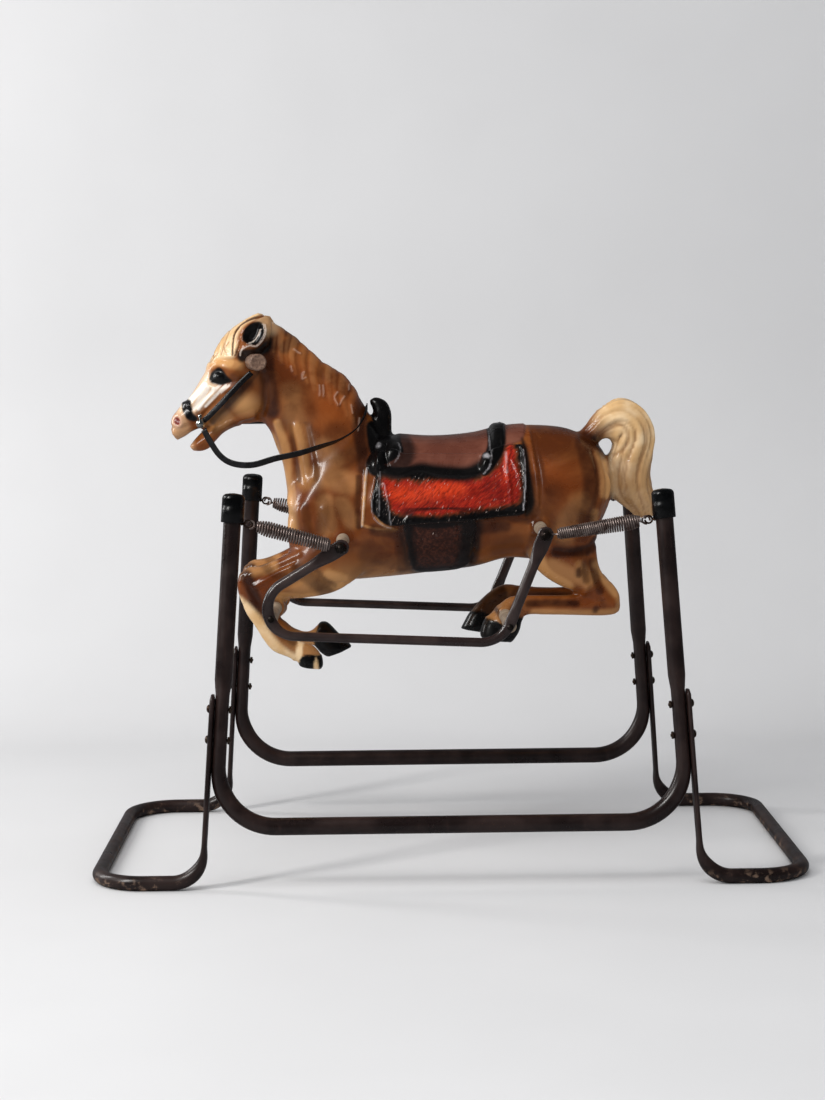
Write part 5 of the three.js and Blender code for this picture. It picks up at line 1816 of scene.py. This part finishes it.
def most(*masks):
    """The strongest of several masks at every point."""
    return np.maximum.reduce(masks)


def painted(skin, strokes, low, high):
    """The strongest of several brush strokes at every point."""
    return most(
        np.zeros(len(skin.points)),
        *(
            amount * smoothstep(low, high, skin.stroke(line, width))
            for line, width, amount in strokes
        ),
    )


def flanks(skin):
    """1 on both flanks, and 0 near the middle plane."""
    return smoothstep(20, 34, np.abs(skin.y))


def ears(skin):
    return smoothstep(24, 32, np.abs(skin.y))


def belly(skin):
    """1 on the flanks and under the belly."""
    return np.clip(smoothstep(28, 50, np.abs(skin.y)) + smoothstep(530, 510, skin.z), 0, 1)


def cream_paint(skin):
    """Forelock, poll, tail, lower legs and the front of the face."""
    poll = skin.region(((-318, 940), (-286, 926), (-284, 902), (-300, 896), (-316, 906)), 8)
    _, along, _ = skin.to_line(spline(TAIL_LINE, 6))
    left_shin = ((-358, 440), (-330, 410), (-306, 374), (-280, 348), (-256, 336))
    left_shin = smoothstep(0.05, 0.6, skin.stroke(left_shin, 24, 22))
    right_shin = skin.stroke(((-358, 440), (-330, 410), (-312, 384)), 20, 16)
    band = skin.stroke(((-250, 372), (-253, 352), (-255, 334)), 8)
    patch = skin.spot((-222, 338), 16)
    return most(
        skin.region(FORELOCK, 3),
        0.4 * poll,
        skin.region(TAIL_OUTLINE, 6) * smoothstep(0.10, 0.26, along),
        0.95 * left_shin * (skin.y < 10),
        0.8 * smoothstep(0.05, 0.7, right_shin) * (skin.y > 10),
        smoothstep(0.1, 0.5, band * (skin.y < 0)),
        smoothstep(0.1, 0.3, patch * (skin.y < 0)),
    )


def rosy_paint(skin):
    """The pale, rosy bridge of the nose, partly a painted highlight where the face turns up to
    the light.
    """
    bridge = ((-408, 850), (-440, 806), (-464, 772), (-452, 764), (-430, 764), (-404, 784))
    return skin.region(bridge + ((-384, 806), (-398, 826)), 8)


def muzzle_paint(skin):
    """The tan muzzle."""
    return skin.region(((-480, 770), (-456, 774), (-440, 752), (-432, 690), (-480, 700)), 7)


def glint_paint(skin):
    """Painted highlights: nearly white strokes on the ridges below the eye."""
    return painted(skin, GLINTS, 0.05, 0.6) * ((skin.x < -350) & (skin.z > 740))


def ear_highlight_paint(skin):
    """Painted highlights along each ear's rim and the fold in it."""
    rim = smoothstep(0.1, 0.6, skin.stroke(EAR_RIM, 1.7))
    streak = smoothstep(0.1, 0.6, skin.stroke(EAR_STREAK, 1.8, 1.3))
    return 0.8 * ears(skin) * most(rim, streak)


def fleece_paint(skin, fur):
    """The red middle of the blanket, with an edge that runs out in strands."""
    ragged = skin.inside(FLEECE) + 2.2 * fur
    return smoothstep(-6, 6, ragged) * flanks(skin) * (1 - skin.region(SEAT, 2))


def bright_paint(skin):
    """Where the red of the fleece is brightest: along its middle, and as a painted highlight on
    the fold at its rear.
    """
    middle = skin.stroke(((-86, 628), (-50, 624), (-10, 632), (20, 634)), 22)
    # A painted highlight on the rear fold.
    return most(middle, 0.8 * skin.stroke(((103, 692), (102, 650)), 7))


def fur_glint_paint(skin):
    """Where painted highlights glint on the blanket's hair tips: round the fleece, and below it.
    """
    rim = np.exp(-((skin.inside(FLEECE) / 9) ** 2))
    fringe = skin.region(BLANKET, 1) * (0.3 + 0.7 * rim)
    below = 0.8 * skin.spot((-22, 566), 26, 2.2, 90)
    return flanks(skin) * most(fringe, below) * (1 - skin.region(SEAT, 2))


def black_of_head(skin):
    """Ear bowls and the black band below them, eyes, noseband, and a painted shadow beside the
    cheek strap.
    """
    below_ear = ((-350, 868), (-340, 873), (-318, 876), (-298, 891), (-293, 882), (-299, 867))
    below_ear += ((-322, 861), (-343, 850), (-352, 858))
    eye = ((-401, 823), (-397, 832), (-389, 839), (-382, 842), (-376, 838), (-370, 829))
    eye += ((-361, 819), (-370, 815), (-380, 812), (-389, 814), (-397, 816))
    noseband = ((-450, 773), (-448, 784), (-440, 788), (-432, 783), (-430, 766), (-422, 757))
    noseband += ((-427, 750), (-440, 754), (-446, 764))
    # A painted shadow beside the cheek strap.
    strap = skin.stroke(((-318, 834), (-342, 806), (-367, 781), (-398, 749)), 8)
    return most(
        ears(skin) * skin.region(EAR_BOWL, 1.6),
        flanks(skin) * 0.95 * skin.region(below_ear, 4),
        skin.region(eye, 1.6),
        skin.region(noseband, 1.8),
        0.55 * smoothstep(0.0, 0.9, strap) * ((skin.x < -290) & (skin.z > 690)),
    )


def black_of_saddle(skin):
    """The seat's border, cantle, pommel and horn, and a shade on top of the seat."""
    border = ((-104, 665), (-84, 661), (-60, 661), (-40, 663), (-10, 659), (38, 657), (70, 671))
    by_pommel = skin.stroke(((-86, 726), (-66, 700), (-70, 676), (-90, 662)), 30, 24)
    horn = ((-134, 792), (-80, 792), (-74, 716), (-72, 690), (-120, 690), (-122, 740))
    seat_top = ((-100, 760), (90, 760), (90, 722), (40, 712), (-40, 709), (-90, 716))
    return most(
        smoothstep(0.0, 0.9, skin.stroke(border, 20)),
        0.85 * smoothstep(0, 0.9, by_pommel) * (skin.x > -96),
        skin.region(CANTLE_BAND, 2.2),
        skin.region(POMMEL, 1.8),
        skin.region(horn, 2),
        skin.region(((-134, 740), (-118, 745), (-112, 700), (-126, 690)), 3),
        0.5 * skin.region(seat_top, 14),
    )


def black_of_blanket(skin, fur):
    """The blanket's fringe and the girth's edges outside its panel, and painted shade behind
    the blanket, under its lower edge and round the girth.
    """
    fringe = skin.region(BLANKET, 1.4) * (1 - fleece_paint(skin, fur))
    fringe *= 1 - skin.region(SEAT, 2)
    # Painted shade behind the blanket's rear edge.
    behind = skin.region(((130, 708), (140, 700), (146, 650), (150, 606), (132, 592)), 4)
    below = belly(skin) * (skin.z < 604)
    girth = skin.inside(GIRTH)
    panel = skin.inside(((-52, 600), (-52, 512), (-44, 500), (8, 500), (20, 510), (21, 600)))
    # Painted shade under the blanket's lower edge.
    under = skin.stroke(((-60, 582), (-20, 578), (36, 584)), 15)
    return most(
        flanks(skin) * fringe,
        flanks(skin) * 0.97 * behind,
        0.9 * below * smoothstep(-6, 3, girth) * smoothstep(11, -4, panel),
        # Painted shade round the girth.
        0.75 * below * smoothstep(-17, -2, girth) * smoothstep(2, -2, girth),
        0.9 * smoothstep(0.0, 0.6, under) * (skin.z < 600),
    )


def black_of_hooves(skin):
    return most(
        *(
            smoothstep(10, 20, skin.y * side) * skin.region(outline, 1.5)
            for outline, side in HOOVES
        )
    )


def black_paint(skin, fur):
    """Every part that is painted black, and painted shade in black, but for a bare patch on the
    left front hoof.
    """
    parts = (black_of_head(skin), black_of_saddle(skin))
    parts += (black_of_blanket(skin, fur), black_of_hooves(skin))
    patch = skin.region(((-224, 348), (-219, 324), (-230, 326)), 1.2, curved=False)
    return most(*parts) * (1 - patch * (skin.y < 0))


def sheen_paint(skin):
    """Painted highlights: pale lines along the folds and rims of the blanket and saddle, and
    spots on the cantle's roll and the horn.
    """
    # Painted highlights on the cantle's roll and on the horn.
    cantle = 0.6 * smoothstep(0.0, 1.0, skin.spot((72, 681), 11, 0.6, -15))
    pommel = 0.5 * smoothstep(0.0, 1.0, skin.spot((-113, 702), 7))
    return most(painted(skin, SHEENS, 0.1, 0.7), cantle, pommel) * flanks(skin)


def leather_paint(skin):
    """Seat, jockey and girth."""
    girth = skin.region(GIRTH, 2) * belly(skin) * (1 - skin.region(BLANKET, 2))
    girth *= smoothstep(604, 596, skin.z)
    return most(skin.region(SEAT, 2), skin.region(JOCKEY, 2), girth)


def strap_paint(skin):
    """Where the leather is the girth's."""
    across = smoothstep(-80, -70, skin.x) * smoothstep(60, 50, skin.x)
    return smoothstep(604, 590, skin.z) * across


def light_paint(skin):
    """Where the brown is sprayed thin, so that it turns tan, and painted highlights on ridges
    and on the lit swells of the neck, shoulder, cheek and legs.
    """
    under = smoothstep(525, 465, skin.z) * smoothstep(-300, -240, skin.x)
    jaw = smoothstep(0.0, 0.9, skin.spot((-386, 752), 44, 0.7, 35))
    throat = ((-300, 716), (-284, 680), (-272, 640), (-266, 600), (-264, 570))
    return most(
        0.6 * under * smoothstep(160, 60, skin.x),
        0.5 * jaw,
        skin.stroke(throat, 20),
        0.8 * skin.spot((-340, 780), 38, 0.8),
        painted(skin, LIGHTS, 0, 0.9),
    )


def dark_paint(skin):
    """Where the brown is sprayed thick, on joints, the crest and along the saddle, and painted
    shade in the folds and grooves, under the blanket and the cheek strap, and on the far
    hind pastern.
    """
    pastern = ((28, 384), (34, 414), (62, 442), (106, 452), (112, 404), (84, 386))
    back = smoothstep(695, 736, skin.z) * smoothstep(140, 165, skin.x)
    rump = 0.5 * smoothstep(0, 1, skin.spot((212, 588), 52)) + 0.5 * skin.spot((206, 690), 40)
    thigh = 0.7 * skin.spot((172, 616), 46) + 0.4 * skin.spot((204, 645), 60)
    return most(
        painted(skin, DARKS, 0, 0.85),
        # The far hind pastern: painted shade.
        0.9 * skin.region(pastern, 5) * (skin.y > 0),
        0.75 * back * smoothstep(262, 236, skin.x),
        rump,
        thigh,
    )


def warm_paint(skin):
    """Where the brown turns orange on the swells of rump, neck and shoulder: the coat's own
    orange, partly painted light where these swells are lit.
    """
    return most(
        0.9 * skin.spot((196, 640), 58, 1.1),
        0.7 * skin.spot((-200, 780), 70, 0.9),
        0.6 * skin.spot((-262, 830), 44),
        0.5 * skin.spot((-176, 650), 50),
    )


def paint_masks(skin, grooves, mane_grooves, fur):
    """Every paint as a mask of the mesh, painted highlights and painted shade among them."""
    fleece = fleece_paint(skin, fur)
    # Painted highlights on the mane's curls.
    curls = (smoothstep(0.0, 1.0, skin.stroke(line, 2.6, 1.8)) for line in MANE_CURLS)
    lines = (smoothstep(0.1, 0.6, skin.stroke(line, 2.6, 2.0)) for line in BOLD_STRANDS)
    masks = {
        "cream": cream_paint(skin),
        "rosy": rosy_paint(skin),
        "glint": glint_paint(skin),
        "ear_highlight": ear_highlight_paint(skin),
        "muzzle": muzzle_paint(skin),
        "black": black_paint(skin, fur),
        "leather": leather_paint(skin),
        "girth": strap_paint(skin),
        "red": fleece,
        "red_bright": fleece * bright_paint(skin),
        # Painted shade where the fur's relief is low.
        "red_fur_shade": fleece * smoothstep(0.1, -0.9, fur),
        "fur_glint": fur_glint_paint(skin),
        "sheen": sheen_paint(skin),
        "light": light_paint(skin),
        "dark": dark_paint(skin),
        "warm": warm_paint(skin),
        # Painted shade between the strands of the forelock and tail.
        "strand": grooves,
        # Painted shade between the mane's locks, and painted light on their tops.
        "mane": mane_grooves,
        "mane_top": -mane_grooves,
        "curl": sum(curls),
        "line": sum(lines),
        "nostril": skin.spot(NOSTRIL, 9, 1.3, 15),
        "nostril_rim": skin.spot(NOSTRIL, 15, 1.25, 15),
    }
    for name, values in masks.items():
        skin.keep_mask(name, values)


def brown_coat(look, mottle):
    """Sprayed brown, from nearly black to tan, with the mane's locks: painted shade between them
    and painted light on their tops, and painted highlights on their curls.
    """
    cloud = look.between(look.noise(6.5, 3, 0.5, 0.3), 0.4, 0.66)
    colour = look.blend(mottle, srgb(112, 54, 17), srgb(144, 82, 33))
    colour = look.blend(look.times(cloud, 0.45), colour, srgb(88, 38, 12))
    # Orange swells, partly painted light.
    colour = look.blend(look.mask("warm", 0.75), colour, srgb(146, 68, 16))
    # Tan spray, and painted highlights on ridges and lit swells.
    light = look.times(look.mask("light"), look.between(mottle, 0, 1, 0.78, 1.0))
    colour = look.blend(light, colour, srgb(216, 161, 101))
    # Thick spray, and painted shade in folds, grooves and under things.
    dark = look.times(look.mask("dark"), look.between(mottle, 0, 1, 1.0, 0.72))
    colour = look.blend(dark, colour, srgb(46, 17, 5))
    # Painted shade between the mane's locks, and painted light on their tops.
    colour = look.blend(look.mask("mane", 0.42), colour, srgb(78, 38, 16))
    top = look.times(look.mask("mane_top"), look.between(mottle, 0, 1, 0.1, 0.45))
    colour = look.blend(top, colour, srgb(186, 130, 80))
    # Painted highlights on the mane's curls.
    return look.blend(look.mask("curl", 0.24), colour, srgb(238, 206, 184))


def pale_face(look, colour, speck):
    """The tan muzzle, the rosy nose and the white painted highlights below the eye, over a coat.
    """
    muzzle = look.blend(speck, srgb(206, 160, 116), srgb(214, 172, 130))
    colour = look.blend(look.mask("muzzle", 0.7), colour, muzzle)
    # The rosy nose, partly a painted highlight.
    colour = look.blend(look.mask("rosy", 0.85), colour, srgb(238, 208, 176))
    # Painted highlights on the ridges below the eye.
    return look.blend(look.mask("glint"), colour, srgb(250, 240, 228))


def cream_hair(look):
    """Golden cream, browned between its strands as painted shade."""
    golden = look.between(look.noise(26, 3, 0.5, 0.0), 0.35, 0.65)
    colour = look.blend(golden, srgb(242, 210, 166), srgb(222, 180, 126))
    # Painted shade in the grooves between strands.
    colour = look.blend(look.mask("strand", 0.62), colour, srgb(128, 76, 34))
    return look.blend(look.mask("line", 0.85), colour, srgb(58, 28, 14))


def nostrils(look, colour):
    """A pale rim and a red hollow, over a coat."""
    rim = look.blend(0.6, colour, srgb(232, 190, 170))
    colour = look.blend(look.mask("nostril_rim"), colour, rim)
    return look.blend(look.between(look.mask("nostril"), 0.1, 0.7), colour, srgb(116, 40, 34))


def saddle_leather(look, mottle):
    """Red-brown seat, and a darker girth."""
    seat = look.blend(mottle, srgb(98, 53, 40), srgb(126, 75, 58))
    grain = look.between(look.noise(190, 4, 0.7), 0.42, 0.66)
    strap = look.blend(grain, srgb(44, 18, 10), srgb(78, 38, 24))
    return look.blend(look.mask("girth"), seat, strap)


def red_fleece(look):
    """Red with bright and dark hairs that lie aslant, and painted shade between the fur's locks.
    """
    uneven = look.between(look.noise(24, 4, 0.6), 0.35, 0.65)
    colour = look.blend(uneven, srgb(132, 19, 8), srgb(166, 32, 13))
    colour = look.blend(look.mask("red_bright"), colour, srgb(206, 57, 20))
    hair = look.noise(1, 3, 0.6, 0.6, look.stretched((520, 160, 75), (0, -0.8, 0)))
    colour = look.blend(look.between(hair, 0.54, 0.70, 0, 0.42), colour, srgb(232, 92, 46))
    colour = look.blend(look.between(hair, 0.5, 0.32, 0, 0.62), colour, srgb(60, 8, 5))
    # Painted shade between the fur's locks.
    return look.blend(look.mask("red_fur_shade", 0.4), colour, srgb(70, 8, 4))


def painted_fur_glints(look):
    """Painted highlights on hair tips on the black of the blanket, as a mask."""
    ticks = look.noise(1, 2, 0.5, 0.0, look.stretched((480, 200, 84), (0, -0.45, 0)))
    return look.times(look.mask("fur_glint"), look.between(ticks, 0.67, 0.75, 0, 0.85))


def horse_plastic():
    """Glossy moulded plastic, sprayed in soft browns and cream, then painted, with painted
    highlights and painted shade.
    """
    look = Look("horse plastic")
    mottle = look.between(look.noise(11, 5, 0.6, 0.4), 0.36, 0.66)
    speck = look.between(look.noise(70, 4, 0.7), 0.4, 0.7)
    paint = pale_face(look, brown_coat(look, mottle), speck)
    paint = nostrils(look, look.blend(look.mask("cream"), paint, cream_hair(look)))
    paint = look.blend(look.mask("leather"), paint, saddle_leather(look, mottle))
    paint = look.blend(look.mask("red"), paint, red_fleece(look))
    black = look.blend(look.between(speck, 0, 1, 0.0, 0.06), srgb(8, 7, 8), srgb(50, 44, 40))
    # Black paint, and painted shade in black.
    paint = look.blend(look.mask("black"), paint, black)
    # Painted highlights on the blanket's hair tips.
    paint = look.blend(painted_fur_glints(look), paint, srgb(238, 214, 204))
    # Painted highlights on the saddle and blanket, broken up by noise.
    sheen_breakup = look.between(look.noise(85, 3, 0.6), 0.36, 0.58, 0.25, 1.0)
    paint = look.blend(look.times(look.mask("sheen"), sheen_breakup), paint, srgb(206, 202, 206))
    # Painted highlights on the ears.
    paint = look.blend(look.mask("ear_highlight"), paint, srgb(222, 206, 192))
    look.set(Base_Color=paint, Roughness=look.between(mottle, 0, 1, 0.27, 0.36))
    look.set(Coat_Weight=0.3, Coat_Roughness=0.1, Specular_IOR_Level=0.36)
    fine = look.raised(look.noise(160, 3, 0.5), 0.06, 0.0006)
    look.set(Normal=look.raised(look.noise(34, 3, 0.5), 0.10, 0.002, fine))
    return look.material


def add_horse():
    """The moulded body in one piece."""
    mesh = voxel_skin(horse_lofts())
    outer_shell(mesh)
    skin = Skin(mesh)
    # Thin features, the saddle's horn and the ears, are only smoothed a little.
    thin = (skin.z > 742) & (skin.x > -140) & (skin.x < -70)
    thin |= (np.abs(skin.y) > 44) & (skin.z > 868) & (skin.x < -296)
    share = np.where(thin, 0.5, 1.0)
    skin.relax(3, share * 0.8, keep=False)
    skin.relax(26, share)
    forelock, grooves = relief_of_forelock(skin)
    mane, mane_grooves = relief_of_mane(skin)
    tail, tail_shade = relief_of_tail(skin)
    saddle, fur = relief_of_saddle(skin)
    high = relief_of_head(skin) + forelock + relief_of_ears(skin) + mane + tail
    high += relief_of_body(skin) + relief_of_hooves(skin) + saddle
    paint_masks(skin, most(grooves, tail_shade), mane_grooves, fur)
    skin.raise_by(high)
    skin.relax(1, 0.35, keep=False)
    skin.write()
    placed(shown("horse_moulding", mesh, horse_plastic()), "horse_body", "horse")


# ------------------------------------------------------------------ the whole


def build():
    add_camera()
    vinyl = strap_vinyl()
    add_rein(vinyl)
    add_stage()
    add_light()
    looks = {
        "frame": frame_paint(),
        "stirrup": frame_paint("stirrup_paint", 0.7, 0.1, lift=14),
        "cap": cap_plastic(),
        "steel": dark_steel("bolt steel", srgb(92, 80, 70), srgb(70, 45, 34)),
        "rod": dark_steel("rod steel", srgb(104, 98, 92), srgb(70, 50, 40)),
        "rivet": dark_steel("rivet steel", srgb(52, 46, 43), srgb(38, 30, 26)),
        "spring": dark_steel("spring steel", srgb(172, 156, 150), srgb(104, 84, 78)),
        "spacer": spacer_plastic(),
        "wood": handle_wood(),
        "vinyl": vinyl,
        "metal": bright_metal(),
    }
    add_stand(looks)
    add_suspension(looks)
    for side_name, side in SIDES:
        add_stirrup(side_name, looks["stirrup"])
        add_handle(side_name, side, looks["wood"])
    for level in ("upper", "lower"):
        for end_name, _ in ENDS:
            add_rod(end_name, level, looks)
    add_bridle(looks)
    add_horse()


build()
